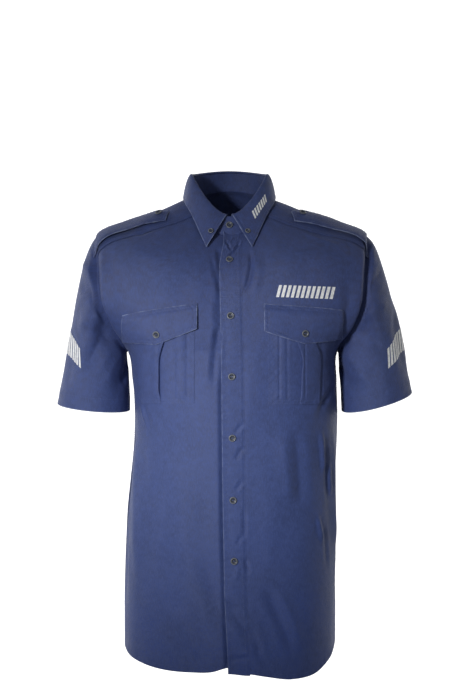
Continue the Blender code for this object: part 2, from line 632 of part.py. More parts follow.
def leaf_point(turn, share):
    """Collar leaf: share 0 is on the stand's top, share 1 on the outer edge, with the roll between."""
    turn, share = np.broadcast_arrays(np.asarray(turn, float), np.asarray(share, float))
    side = np.sign(turn)
    edge = np.stack([through(LEAF_TURNS, LEAF_EDGE[:, axis], np.abs(turn)) for axis in range(3)], axis=-1)
    edge[..., 0] = edge[..., 0] * side + STAND_TOP.centre_x
    top = ring(STAND_TOP, turn, STAND_SLOPE) + (0, 0, LEAF_RISE)
    out = np.stack([np.sin(np.radians(turn)), -np.cos(np.radians(turn)), 0 * turn], axis=-1)
    up = np.zeros_like(out)
    up[..., 2] = 1
    rising = top + up * LEAF_ROLL_UP + out * LEAF_ROLL_EASE
    over = top + out * LEAF_ROLL_OUT + up * LEAF_ROLL_EASE
    return bezier((top, rising, over, edge), share)


def make_leaf():
    front = np.linspace(LEAF_TURNS[0], LEAF_SIDE_TURN, 9)
    half = np.concatenate([front, np.linspace(LEAF_SIDE_TURN, 180, 11)[1:]])
    turn = np.concatenate([half, -half[-2::-1]])
    turn, share = np.broadcast_arrays(turn[None, :], np.array(LEAF_SHARES)[:, None])
    cloth_on("collar_leaf", leaf_point, turn, share, **LEAF_STEPS)


def between(start, end, share):
    """(turn, climb) part of the way from one place to another."""
    return start[0] + (end[0] - start[0]) * share, start[1] + (end[1] - start[1]) * share


def pocket_place(patch, across, down):
    """(turn, climb) on a pocket: across runs from its inner edge, 0, and down from its top, 0, each to 1."""
    z = patch.top_z + (patch.bottom_z - patch.top_z) * down
    outer_x = patch.outer_top_x + (patch.outer_bottom_x - patch.outer_top_x) * down
    return between(place_at(patch.side * patch.inner_x, z), place_at(patch.side * outer_x, z), across)


def make_pockets():
    """Patch pocket with a box pleat: a raised band down its middle."""
    for name, patch in POCKETS.items():
        width = (patch.outer_top_x + patch.outer_bottom_x) / 2 - patch.inner_x
        band, foot = PLEAT_HALF / width, (PLEAT_HALF + PLEAT_SIDE) / width
        middle = patch.pleat_share
        pleat = middle + np.array([-foot, -band, 0, band, foot])
        inner_part, outer_part = np.linspace(0, pleat[0], 4), np.linspace(pleat[-1], 1, 4)
        across = np.concatenate([inner_part[:-1], pleat, outer_part[1:]])
        down = np.linspace(0, 1, 12)
        across, down = np.broadcast_arrays(across[None, :], down[:, None])
        turn, climb = pocket_place(patch, across, down)
        raised = 1 - ease(np.abs(across - middle), band, foot)
        lift = LAYER + PATCH_CLEAR + PLEAT_RISE * raised * ease(down, PLEAT_FLAT, PLEAT_FULL)
        cloth_on("pocket_" + name, torso, turn, climb, lift, colour=NAVY_LIGHT)


def flap_place(flap, across, down):
    """(turn, climb, lift) on a pocket flap, whose lower edge comes to a point in the middle."""
    inner = place_at(flap.side * flap.inner_x, flap.inner_top_z)
    outer = place_at(flap.side * flap.outer_x, flap.outer_top_z)
    top = smooth_torso(*between(inner, outer, across))
    to_point = np.minimum(across / flap.point_share, (1 - across) / (1 - flap.point_share))
    drop = flap.side_drop + (flap.point_drop - flap.side_drop) * to_point
    turn, climb = place_at(top[..., 0], top[..., 2] - drop * down)
    over_pocket = (LAYER + PATCH_CLEAR) * ease(down, 0.0, FLAP_SEAT)
    return turn, climb, LAYER + PATCH_CLEAR / 2 + over_pocket + FLAP_RISE * down


def make_flaps():
    for name, flap in FLAPS.items():
        inner_half = np.linspace(0, flap.point_share, 7)
        across = np.concatenate([inner_half, np.linspace(flap.point_share, 1, 7)[1:]])
        across, down = np.broadcast_arrays(across[None, :], np.linspace(0, 1, 6)[:, None])
        turn, climb, lift = flap_place(flap, across, down)
        cloth_on("flap_" + name, torso, turn, climb, lift, colour=NAVY_LIGHT)


def strap_place(side, along, across):
    """(turn, climb, lift) on an epaulette: along is 0 at the armhole, 1 at its point; across 1 in front."""
    half = STRAP_OUTER_HALF + (STRAP_INNER_HALF - STRAP_OUTER_HALF) * along
    forward = STRAP_FORWARD + half * across
    outer_spread = np.degrees(forward / at_climb(SHOULDER_TIP).left_x)
    around = np.degrees(np.arcsin(np.clip(np.abs(outer_spread) / ARMHOLE_TURN, 0, 1)))
    outer = armhole_climb(180 - around) + STRAP_INSET
    climb = outer + (STRAP_INNER + STRAP_POINT * (1 - np.abs(across)) - outer) * along
    turn = side * (90 - np.degrees(forward / at_climb(climb).left_x))
    return turn, climb, LAYER + STRAP_CLEAR + STRAP_ARCH * np.sin(np.pi * along)


def make_epaulettes():
    for name, side in (("left", 1), ("right", -1)):
        grid = np.broadcast_arrays(np.linspace(-1, 1, 7)[None, :], np.linspace(0, 1, 12)[:, None])
        turn, climb, lift = strap_place(side, grid[1], grid[0])
        cloth_on("epaulette_" + name, torso, turn, climb, lift, colour=NAVY_LIGHT)


def button(name, spot, normal, radius):
    """Round button with a softened rim, its back one seam gap off the cloth at spot."""
    mesh = bpy.data.meshes.new(name)
    work = bmesh.new()
    bmesh.ops.create_cone(
        work, cap_ends=True, segments=BUTTON_SIDES, radius1=radius, radius2=radius, depth=BUTTON_THICK
    )
    rim = [edge for edge in work.edges if all(vert.co.z > 0 for vert in edge.verts)]
    bmesh.ops.bevel(work, geom=rim, offset=BUTTON_BEVEL, segments=1, affect="EDGES")
    centre = Vector(spot) + Vector(normal) * (SEAM_GAP + BUTTON_THICK / 2)
    turned = Vector(normal).to_track_quat("Z", "Y").to_matrix().to_4x4()
    bmesh.ops.transform(work, matrix=Matrix.Translation(centre) @ turned, verts=work.verts)
    work.to_mesh(mesh)
    work.free()
    add_object(name, mesh, BUTTON_GREY, 0.35, 0.5)


def button_on(name, shape, u, v, lift, steps, radius=BUTTON_RADIUS, outward=1):
    """Button on a wall lifted off shape(u, v); outward is -1 where the normals of the shape face in."""
    u, v = np.array([float(u)]), np.array([float(v)])
    normal = normals(shape, u, v, **steps)[0] * outward
    spot = shape(u, v)[0] + normal * (lift + CLOTH / 2)
    button(name, spot, normal, radius)


def make_buttons():
    for number, height in enumerate(FRONT_BUTTON_HEIGHTS, 1):
        _, climb = place_at(0.0, height)
        button_on(f"button_front_{number}", torso, turn_of(0.0, climb), climb, PLACKET_LIFT, TORSO_STEPS)
    button_on("button_stand", stand_point, 0.0, STAND_BUTTON_SHARE, LAYER / 2, STAND_STEPS)
    for name, side in (("left", 1), ("right", -1)):
        flap = FLAPS[name]
        turn, climb, lift = flap_place(flap, flap.point_share, FLAP_BUTTON_SHARE)
        button_on("button_flap_" + name, torso, turn, climb, lift, TORSO_STEPS)
        turn, climb, lift = strap_place(side, STRAP_BUTTON_SHARE, 0.0)
        button_on("button_epaulette_" + name, torso, turn, climb, lift + STRAP_BUTTON_CLEAR, TORSO_STEPS)
        place = side * COLLAR_BUTTON_TURN, COLLAR_BUTTON_SHARE
        button_on("button_collar_" + name, leaf_point, *place, 0.0, LEAF_STEPS, COLLAR_BUTTON_RADIUS, -1)


for old in list(bpy.data.objects):
    bpy.data.objects.remove(old)
SHIRT = collection_for("police_uniform_shirt")
make_fronts()
make_placket()
make_back()
make_yoke()
make_sleeves()
make_stand()
make_leaf()
make_pockets()
make_flaps()
make_epaulettes()
make_buttons()
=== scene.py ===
"""Looks of the short-sleeved police uniform shirt, laid out as an add-on and run as a script.

Metres, +Z up. The front faces -Y and +X is the wearer's left. Each cloth piece is a thin shell on a surface
with two parameters: the torso (turn round the body, climb up it), a sleeve (phi round the arm, reach along
it), the collar stand and the collar leaf (turn, share of the width). Creases are added to these surfaces,
and seams, stitches, strips and buttons are laid on them.
"""

from collections import namedtuple

import bpy
import numpy as np
from bpy.props import FloatProperty, FloatVectorProperty, IntProperty, PointerProperty
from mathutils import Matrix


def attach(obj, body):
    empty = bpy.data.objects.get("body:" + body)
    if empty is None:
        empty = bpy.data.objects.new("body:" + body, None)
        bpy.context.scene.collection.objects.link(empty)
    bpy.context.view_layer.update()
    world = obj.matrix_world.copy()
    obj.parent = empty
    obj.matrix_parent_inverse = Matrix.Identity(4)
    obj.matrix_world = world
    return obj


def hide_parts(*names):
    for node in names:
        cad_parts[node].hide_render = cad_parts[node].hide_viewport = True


bl_info = {
    "name": "Police uniform shirt",
    "version": (1, 0, 0),
    "blender": (4, 5, 0),
    "location": "View3D > Sidebar > Shirt",
    "description": "Cloth, seams, stitches, strips and buttons of a short-sleeved uniform shirt",
    "category": "Object",
}

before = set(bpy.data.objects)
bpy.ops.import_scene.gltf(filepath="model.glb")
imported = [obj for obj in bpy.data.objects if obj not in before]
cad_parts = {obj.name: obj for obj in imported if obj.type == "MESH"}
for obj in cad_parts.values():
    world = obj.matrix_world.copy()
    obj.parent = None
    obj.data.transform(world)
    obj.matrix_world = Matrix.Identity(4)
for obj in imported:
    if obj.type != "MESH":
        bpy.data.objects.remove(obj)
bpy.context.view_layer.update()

# Cloth
CLOTH = 0.0012
SEAM_GAP = 0.0003
ARMHOLE_GAP = 0.0008
LAYER = CLOTH + SEAM_GAP

# Marks on the worn surface, as climbs
ARMPIT = -0.250
SHOULDER_TIP = -0.060
NECKLINE = 0.090
BACK_YOKE_SEAM = -0.095
FRONT_YOKE_SEAM = -0.088
HEM_RUN_OUT = -0.640
ROWS_CLOSING = 1.5

# Armhole and yoke, as turns
ARMHOLE_TURN = 19.0
FRONT_YOKE_NECK_TURN = 56.0

# Sections of the worn surface from below the hem up to the neck. front, back and side are where the ring
# crosses the centre front, the centre back and the side seam or shoulder ridge; right_x and left_x are the
# half widths on the wearer's two sides. Above the armpit the sides lie in the open armhole.
Section = namedtuple(
    "Section", "climb front_y front_z back_y back_z right_x left_x side_y side_z centre_x squareness"
)
SECTIONS = (
    Section(-0.820, -0.126, -0.820, 0.129, -0.820, 0.176, 0.172, 0.002, -0.820, 0.012, 2.5),
    Section(-0.740, -0.127, -0.740, 0.127, -0.740, 0.176, 0.172, 0.002, -0.740, 0.010, 2.5),
    Section(-0.647, -0.128, -0.647, 0.121, -0.647, 0.176, 0.1725, 0.002, -0.647, 0.0055, 2.5),
    Section(-0.567, -0.129, -0.567, 0.115, -0.567, 0.174, 0.1725, 0.002, -0.567, 0.004, 2.5),
    Section(-0.517, -0.130, -0.517, 0.112, -0.517, 0.171, 0.171, 0.002, -0.517, 0.003, 2.5),
    Section(-0.467, -0.131, -0.467, 0.110, -0.467, 0.166, 0.171, 0.002, -0.467, 0.0022, 2.5),
    Section(-0.412, -0.133, -0.412, 0.111, -0.412, 0.161, 0.1735, 0.002, -0.412, 0.0016, 2.5),
    Section(-0.357, -0.135, -0.357, 0.114, -0.357, 0.160, 0.1755, 0.002, -0.357, 0.001, 2.5),
    Section(-0.300, -0.136, -0.300, 0.119, -0.300, 0.1635, 0.1735, 0.003, -0.300, 0.0005, 2.5),
    Section(-0.250, -0.135, -0.250, 0.123, -0.250, 0.1730, 0.1760, 0.004, -0.250, 0.000, 2.5),
    Section(-0.205, -0.133, -0.225, 0.126, -0.195, 0.210, 0.213, 0.005, -0.206, -0.001, 2.5),
    Section(-0.155, -0.130, -0.198, 0.127, -0.150, 0.246, 0.248, 0.005, -0.157, -0.0015, 2.45),
    Section(-0.105, -0.1245, -0.170, 0.125, -0.108, 0.244, 0.246, 0.005, -0.105, -0.002, 2.4),
    Section(-0.060, -0.117, -0.145, 0.121, -0.077, 0.222, 0.224, 0.005, -0.060, -0.0025, 2.3),
    Section(-0.010, -0.1045, -0.117, 0.112, -0.047, 0.174, 0.174, 0.005, -0.0400, -0.003, 2.2),
    Section(0.040, -0.084, -0.090, 0.094, -0.013, 0.121, 0.118, 0.005, -0.0190, -0.0035, 2.1),
    Section(0.090, -0.058, -0.062, 0.068, 0.018, 0.0735, 0.0665, 0.005, 0.0015, -0.0035, 2.0),
    Section(0.100, -0.052, -0.057, 0.061, 0.023, 0.066, 0.059, 0.005, 0.004, -0.0035, 2.0),
)

# How the rings fall away from the shoulder ridge: powers of the cosine, lower ones falling sooner.
FRONT_SLOPE = 1.35
BACK_SLOPE = 1.7
STAND_SLOPE = 1.7

# Height of the hem round the body; the back tail is the longer one.
Hem = namedtuple("Hem", "turn height")
HEM = (
    Hem(-180, -0.790),
    Hem(-140, -0.784),
    Hem(-115, -0.757),
    Hem(-100, -0.738),
    Hem(-90, -0.733),
    Hem(-80, -0.742),
    Hem(-65, -0.755),
    Hem(-50, -0.764),
    Hem(-32, -0.767),
    Hem(-18, -0.766),
    Hem(-8, -0.760),
    Hem(8, -0.769),
    Hem(20, -0.774),
    Hem(37, -0.779),
    Hem(52, -0.773),
    Hem(65, -0.755),
    Hem(80, -0.734),
    Hem(90, -0.719),
    Hem(100, -0.728),
    Hem(115, -0.752),
    Hem(140, -0.784),
    Hem(180, -0.790),
)

# Collar: the stand's top ring, and the leaf's outer edge as places on the worn surface, lifted off it.
STAND_TOP = Section(0, -0.0475, -0.031, 0.062, 0.050, 0.0650, 0.0580, 0.005, 0.040, -0.0035, 2.0)
STAND_RISE = 0.0014
STAND_UNDER_TURN = 14.0
STAND_OVER_TURN = 17.0
STAND_BLEND_TURN = 45.0
LEAF_RISE = 0.0011
LEAF_ROLL_UP = 0.007
LEAF_ROLL_OUT = 0.010
LeafEdge = namedtuple("LeafEdge", "roll_turn edge_x edge_z lift")
LEAF_FRONT = (
    LeafEdge(3.5, 0.0375, -0.0850, 0.0035),
    LeafEdge(14.0, 0.0455, -0.0690, 0.0045),
    LeafEdge(30.0, 0.0545, -0.0490, 0.0055),
    LeafEdge(50.0, 0.0645, -0.0270, 0.0060),
)
LeafBack = namedtuple("LeafBack", "roll_turn edge_turn edge_climb lift")
LEAF_BACK = (
    LeafBack(72.0, 73.0, 0.0830, 0.0060),
    LeafBack(95.0, 95.0, 0.0840, 0.0060),
    LeafBack(125.0, 127.0, 0.0810, 0.0055),
    LeafBack(155.0, 156.0, 0.0780, 0.0050),
    LeafBack(180.0, 180.0, 0.0770, 0.0050),
)

# Placket: the strip's two edges each side of the centre line; its free edge curls back near the neck.
PLACKET_FREE = 0.0165
PLACKET_SEWN = 0.0195
PLACKET_CURL = 0.0095
PLACKET_CURL_TOP = -0.060
PLACKET_CURL_END = -0.118
PLACKET_LIFT = 0.0006
UNDERLAP = 0.0130
UNDERLAP_FADE = 0.045

# Sleeves: the hem ring, and how each lengthwise line leaves the armhole.
SLEEVE_LEAVE = 0.11
SLEEVE_ARRIVE = 0.40
Cuff = namedtuple("Cuff", "side inner_x outer_x middle_y half_depth inner_z outer_z front_drop")
CUFFS = {
    "left": Cuff(1, 0.1835, 0.2990, 0.002, 0.066, -0.351, -0.320, 0.009),
    "right": Cuff(-1, 0.1700, 0.2880, 0.002, 0.066, -0.350, -0.339, 0.006),
}

# Pockets and flaps as seen from the front: x is the distance from the centre plane.
Patch = namedtuple("Patch", "side inner_x outer_top_x outer_bottom_x top_z bottom_z pleat_share")
POCKETS = {
    "right": Patch(-1, 0.0590, 0.1660, 0.1570, -0.207, -0.3360, 0.50),
    "left": Patch(1, 0.0585, 0.1690, 0.1680, -0.207, -0.3370, 0.45),
}
PocketFlap = namedtuple(
    "PocketFlap", "side inner_x outer_x inner_top_z outer_top_z side_drop point_drop point_share"
)
FLAPS = {
    "right": PocketFlap(-1, 0.0545, 0.1755, -0.1745, -0.1935, 0.0420, 0.0560, 0.56),
    "left": PocketFlap(1, 0.0520, 0.1790, -0.1755, -0.1850, 0.0450, 0.0590, 0.55),
}
PLEAT_HALF = 0.0150
PLEAT_SIDE = 0.0030
PLEAT_RISE = 0.0012
PATCH_CLEAR = 0.0010
FLAP_RISE = 0.0016
FLAP_SEAT = 0.28

# Epaulettes: forward of the shoulder ridge, from the armhole to a point near the collar.
STRAP_FORWARD = 0.0260
STRAP_INSET = 0.0015
STRAP_INNER = 0.0410
STRAP_POINT = 0.0130
STRAP_OUTER_HALF = 0.0250
STRAP_INNER_HALF = 0.0200
STRAP_ARCH = 0.0020

# Buttons
BUTTON_RADIUS = 0.00575
COLLAR_BUTTON_RADIUS = 0.0045
BUTTON_THICK = 0.0022
BUTTON_BEVEL = 0.0006
BUTTON_SIDES = 16
FRONT_BUTTON_HEIGHTS = (-0.1040, -0.1955, -0.2925, -0.3905, -0.4900, -0.5875)
STAND_BUTTON_SHARE = 0.5
FLAP_BUTTON_SHARE = 0.72
STRAP_BUTTON_SHARE = 0.865


def through(xs, ys, x):
    """Smooth curve through (xs, ys) at x: cubic pieces whose slopes at each point come from its neighbours."""
    xs, ys = np.asarray(xs, float), np.asarray(ys, float)
    slopes = np.gradient(ys, xs)
    x = np.clip(x, xs[0], xs[-1])
    i = np.clip(np.searchsorted(xs, x) - 1, 0, len(xs) - 2)
    step = xs[i + 1] - xs[i]
    t = (x - xs[i]) / step
    start = ys[i] * (1 + 2 * t) * (1 - t) ** 2 + slopes[i] * step * t * (1 - t) ** 2
    return start + ys[i + 1] * t**2 * (3 - 2 * t) + slopes[i + 1] * step * t**2 * (t - 1)


def ease(x, start, end):
    """0 before start, 1 after end, and a smooth step between them."""
    t = np.clip((np.asarray(x, float) - start) / (end - start), 0, 1)
    return t * t * (3 - 2 * t)


def at_climb(climb):
    """The section at a climb, with every column read from its smooth curve."""
    climbs = [row.climb for row in SECTIONS]
    columns = [through(climbs, column, climb) for column in zip(*SECTIONS, strict=True)]
    return Section(*columns)


def ring(section, turn, front_slope=FRONT_SLOPE):
    """Point of a section's ring: a rounded oblong in plan, its height swinging with a power of the cosine."""
    sine, cosine = np.sin(np.radians(turn)), np.cos(np.radians(turn))
    half = np.where(sine >= 0, section.left_x - section.centre_x, section.right_x + section.centre_x)
    depth = np.where(cosine >= 0, section.side_y - section.front_y, section.back_y - section.side_y)
    power = section.squareness
    radius = (np.abs(sine / half) ** power + np.abs(cosine / depth) ** power) ** (-1 / power)
    end_z = np.where(cosine >= 0, section.front_z, section.back_z)
    slope = np.where(cosine >= 0, front_slope, BACK_SLOPE)
    height = section.side_z + (end_z - section.side_z) * np.abs(cosine) ** slope
    return np.stack([section.centre_x + radius * sine, section.side_y - radius * cosine, height], axis=-1)


def smooth_torso(turn, climb):
    """The worn surface without folds."""
    turn, climb = np.broadcast_arrays(np.asarray(turn, float), np.asarray(climb, float))
    return ring(at_climb(climb), turn)


def normals(shape, u, v, du, dv):
    """Unit normals of shape(u, v), from points a little way to each side along u and v."""
    along = shape(u + du, v) - shape(u - du, v)
    across = shape(u, v + dv) - shape(u, v - dv)
    normal = np.cross(along, across)
    return normal / np.linalg.norm(normal, axis=-1, keepdims=True)


def lifted(shape, u, v, lift, du=0.2, dv=0.0005):
    """Points of shape(u, v) moved along its normals by lift."""
    u, v, lift = np.broadcast_arrays(np.asarray(u, float), np.asarray(v, float), np.asarray(lift, float))
    return shape(u, v) + normals(shape, u, v, du, dv) * lift[..., None]


def line_on(shape, a, b, count=7):
    """Points of shape along the straight line in its parameters from a to b."""
    t = np.linspace(0, 1, count)
    return shape(a[0] + (b[0] - a[0]) * t, a[1] + (b[1] - a[1]) * t)



def place_at(x, z):
    """(turn, climb) of the front where it is seen at x and z, by Newton's steps from a first guess."""
    x, z = np.broadcast_arrays(np.asarray(x, float), np.asarray(z, float))
    turn = np.degrees(np.arctan2(x, 0.13))
    climb = z + 0.03 * ease(z, -0.25, -0.10)
    for _ in range(25):
        here = smooth_torso(turn, climb)
        by_turn = (smooth_torso(turn + 0.1, climb) - here) / 0.1
        by_climb = (smooth_torso(turn, climb + 0.0005) - here) / 0.0005
        miss_x, miss_z = x - here[..., 0], z - here[..., 2]
        scale = by_turn[..., 0] * by_climb[..., 2] - by_climb[..., 0] * by_turn[..., 2]
        turn = turn + np.clip((miss_x * by_climb[..., 2] - miss_z * by_climb[..., 0]) / scale, -10, 10)
        climb = climb + np.clip((miss_z * by_turn[..., 0] - miss_x * by_turn[..., 2]) / scale, -0.03, 0.03)
    return turn, climb


def turn_of(offset, climb):
    """Turn at which the surface is offset metres to the wearer's left of the centre line."""
    climb = np.asarray(climb, float)
    turn = np.degrees(np.arctan2(offset, 0.12)) + 0 * climb
    centre = at_climb(climb).centre_x
    for _ in range(12):
        here = smooth_torso(turn, climb)[..., 0]
        slope = (smooth_torso(turn + 0.1, climb)[..., 0] - here) / 0.1
        turn = turn + (centre + offset - here) / slope
    return turn


def armhole_spread(climb):
    """Half the armhole's width in degrees at a climb: a half ellipse from the armpit to the shoulder tip."""
    middle = (SHOULDER_TIP + ARMPIT) / 2
    reach = (SHOULDER_TIP - ARMPIT) / 2
    return ARMHOLE_TURN * np.sqrt(np.clip(1 - ((climb - middle) / reach) ** 2, 0, 1))


def armhole_climb(angle):
    """Climb on the armhole at an angle from its lowest point, 0, to the shoulder tip, 180."""
    middle = (SHOULDER_TIP + ARMPIT) / 2
    return middle - (SHOULDER_TIP - ARMPIT) / 2 * np.cos(np.radians(angle))


def armhole_angle(climb):
    """The angle whose climb is given."""
    middle = (SHOULDER_TIP + ARMPIT) / 2
    return np.degrees(np.arccos((middle - climb) / ((SHOULDER_TIP - ARMPIT) / 2)))


def row_climbs(shares, climbs, turn):
    """Climb of each grid point: the low rows bend to follow the hem, the rest are level."""
    hem = through([row.turn for row in HEM], [row.height for row in HEM], turn)
    low = hem[: len(shares)] + (HEM_RUN_OUT - hem[: len(shares)]) * shares[:, None]
    return np.concatenate([low, np.broadcast_to(climbs[:, None], (len(climbs), turn.shape[1]))])


def seam_turn(climb):
    """Half a seam's gap, in degrees round the body."""
    return np.degrees(SEAM_GAP / 2 / at_climb(climb).left_x)


def bezier(points, t):
    """Cubic curve from points[0] to points[3], leaving towards points[1] and arriving from points[2]."""
    t = np.asarray(t, float)[..., None]
    a, b, c, d = points
    return (1 - t) ** 3 * a + 3 * (1 - t) ** 2 * t * b + 3 * (1 - t) * t**2 * c + t**3 * d


def smooth_sleeve(cuff, phi, reach):
    """Sleeve point: phi goes round from the front, 0, over the top, 90; reach runs from armhole 0 to hem 1."""
    phi, reach = np.broadcast_arrays(np.asarray(phi, float), np.asarray(reach, float))
    cosine, sine = np.cos(np.radians(phi)), np.sin(np.radians(phi))
    middle, half = (SHOULDER_TIP + ARMPIT) / 2, (SHOULDER_TIP - ARMPIT) / 2
    spread = ARMHOLE_TURN - np.degrees(ARMHOLE_GAP / 0.22)
    turn = cuff.side * (90 - spread * cosine)
    under = ease(-sine, 0.2, 1.0)
    start = lifted(smooth_torso, turn, middle + (half - ARMHOLE_GAP) * sine, (LAYER + 0.0006) * under)
    middle_x, half_x = (cuff.inner_x + cuff.outer_x) / 2, (cuff.outer_x - cuff.inner_x) / 2
    end_z = (cuff.inner_z + cuff.outer_z) / 2 + (cuff.outer_z - cuff.inner_z) / 2 * sine
    end_z = end_z - cuff.front_drop * cosine
    end_x, end_y = cuff.side * (middle_x + half_x * sine), cuff.middle_y - cuff.half_depth * cosine
    end = np.stack([end_x, end_y, end_z], axis=-1)
    low = (1 - sine) / 2
    out = 0.92 * (1 - low**2) + 0.02
    leave = np.stack([cuff.side * out, -0.10 * cosine, -(0.42 + 0.58 * low)], axis=-1)
    leave = leave / np.linalg.norm(leave, axis=-1, keepdims=True)
    arrive = np.stack([cuff.side * (0.04 + 0.16 * (1 - low)), 0 * low, -1 + 0 * low], axis=-1)
    length = np.linalg.norm(end - start, axis=-1, keepdims=True)
    return bezier((start, start + leave * length * SLEEVE_LEAVE, end - arrive * length * SLEEVE_ARRIVE, end), reach)


def stand_point(turn, share):
    """Collar stand: from the neckline, share 0, to the roll line, share 1."""
    base = smooth_torso(turn, NECKLINE + 0 * np.asarray(turn, float)) + (0, 0, STAND_RISE)
    return base + (ring(STAND_TOP, turn, STAND_SLOPE) - base) * np.asarray(share, float)[..., None]


def leaf_table():
    """Half the leaf: its roll turns and its outer edge's points, centre front to centre back, centred on x 0."""
    turn, climb = place_at(
        np.array([row.edge_x for row in LEAF_FRONT]) + STAND_TOP.centre_x, [row.edge_z for row in LEAF_FRONT]
    )
    front = lifted(smooth_torso, turn, climb, [row.lift for row in LEAF_FRONT])
    back = lifted(
        smooth_torso,
        [row.edge_turn for row in LEAF_BACK],
        [row.edge_climb for row in LEAF_BACK],
        [row.lift for row in LEAF_BACK],
    )
    edge = np.concatenate([front, back])
    edge[:, 0] -= STAND_TOP.centre_x
    edge[-1, 0] = 0
    return np.array([row.roll_turn for row in LEAF_FRONT + LEAF_BACK]), edge


LEAF_TURNS, LEAF_EDGE = leaf_table()


def leaf_point(turn, share):
    """Collar leaf: share 0 is on the stand's top, share 1 on the outer edge, with the roll between."""
    turn, share = np.broadcast_arrays(np.asarray(turn, float), np.asarray(share, float))
    side = np.sign(turn)
    edge = np.stack([through(LEAF_TURNS, LEAF_EDGE[:, axis], np.abs(turn)) for axis in range(3)], axis=-1)
    edge[..., 0] = edge[..., 0] * side + STAND_TOP.centre_x
    top = ring(STAND_TOP, turn, STAND_SLOPE) + (0, 0, LEAF_RISE)
    out = np.stack([np.sin(np.radians(turn)), -np.cos(np.radians(turn)), 0 * turn], axis=-1)
    up = np.zeros_like(out)
    up[..., 2] = 1
    over = top + out * LEAF_ROLL_OUT + up * 0.001
    return bezier((top, top + up * LEAF_ROLL_UP + out * 0.001, over, edge), share)


def between(start, end, share):
    """(turn, climb) part of the way from one place to another."""
    return start[0] + (end[0] - start[0]) * share, start[1] + (end[1] - start[1]) * share


def pocket_place(patch, across, down):
    """(turn, climb) on a pocket: across 0 at its inner edge, 1 at its outer; down 0 at its top, 1 at its bottom."""
    z = patch.top_z + (patch.bottom_z - patch.top_z) * down
    outer_x = patch.outer_top_x + (patch.outer_bottom_x - patch.outer_top_x) * down
    return between(place_at(patch.side * patch.inner_x, z), place_at(patch.side * outer_x, z), across)


def flap_place(flap, across, down):
    """(turn, climb, lift) on a pocket flap, whose lower edge comes to a point in the middle."""
    inner = place_at(flap.side * flap.inner_x, flap.inner_top_z)
    outer = place_at(flap.side * flap.outer_x, flap.outer_top_z)
    top = smooth_torso(*between(inner, outer, across))
    to_point = np.minimum(across / flap.point_share, (1 - across) / (1 - flap.point_share))
    drop = flap.side_drop + (flap.point_drop - flap.side_drop) * to_point
    turn, climb = place_at(top[..., 0], top[..., 2] - drop * down)
    over_pocket = (LAYER + PATCH_CLEAR) * ease(down, 0.0, FLAP_SEAT)
    return turn, climb, LAYER + PATCH_CLEAR / 2 + over_pocket + FLAP_RISE * down


def strap_place(side, along, across):
    """(turn, climb, lift) on an epaulette: along 0 at the armhole, 1 at its neck end; across -1 back, 1 front."""
    half = STRAP_OUTER_HALF + (STRAP_INNER_HALF - STRAP_OUTER_HALF) * along
    forward = STRAP_FORWARD + half * across
    outer_spread = np.degrees(forward / at_climb(SHOULDER_TIP).left_x)
    around = np.degrees(np.arcsin(np.clip(np.abs(outer_spread) / ARMHOLE_TURN, 0, 1)))
    outer = armhole_climb(180 - around) + STRAP_INSET
    climb = outer + (STRAP_INNER + STRAP_POINT * (1 - np.abs(across)) - outer) * along
    turn = side * (90 - np.degrees(forward / at_climb(climb).left_x))
    return turn, climb, LAYER + 0.0002 + STRAP_ARCH * np.sin(np.pi * along)


# Thin shells, their layers and seams
TUCK = 0.0030
TUCK_DROP = 0.0007
LAP_RISE = 0.0004
FELL = 0.0075
FELL_RISE = 0.0005
HEM_WIDTH = 0.0075
SLEEVE_HEM = 0.0220
NEAR_STITCH = 0.0015
FAR_STITCH = 0.0065
NECK_TUCK = 0.0035

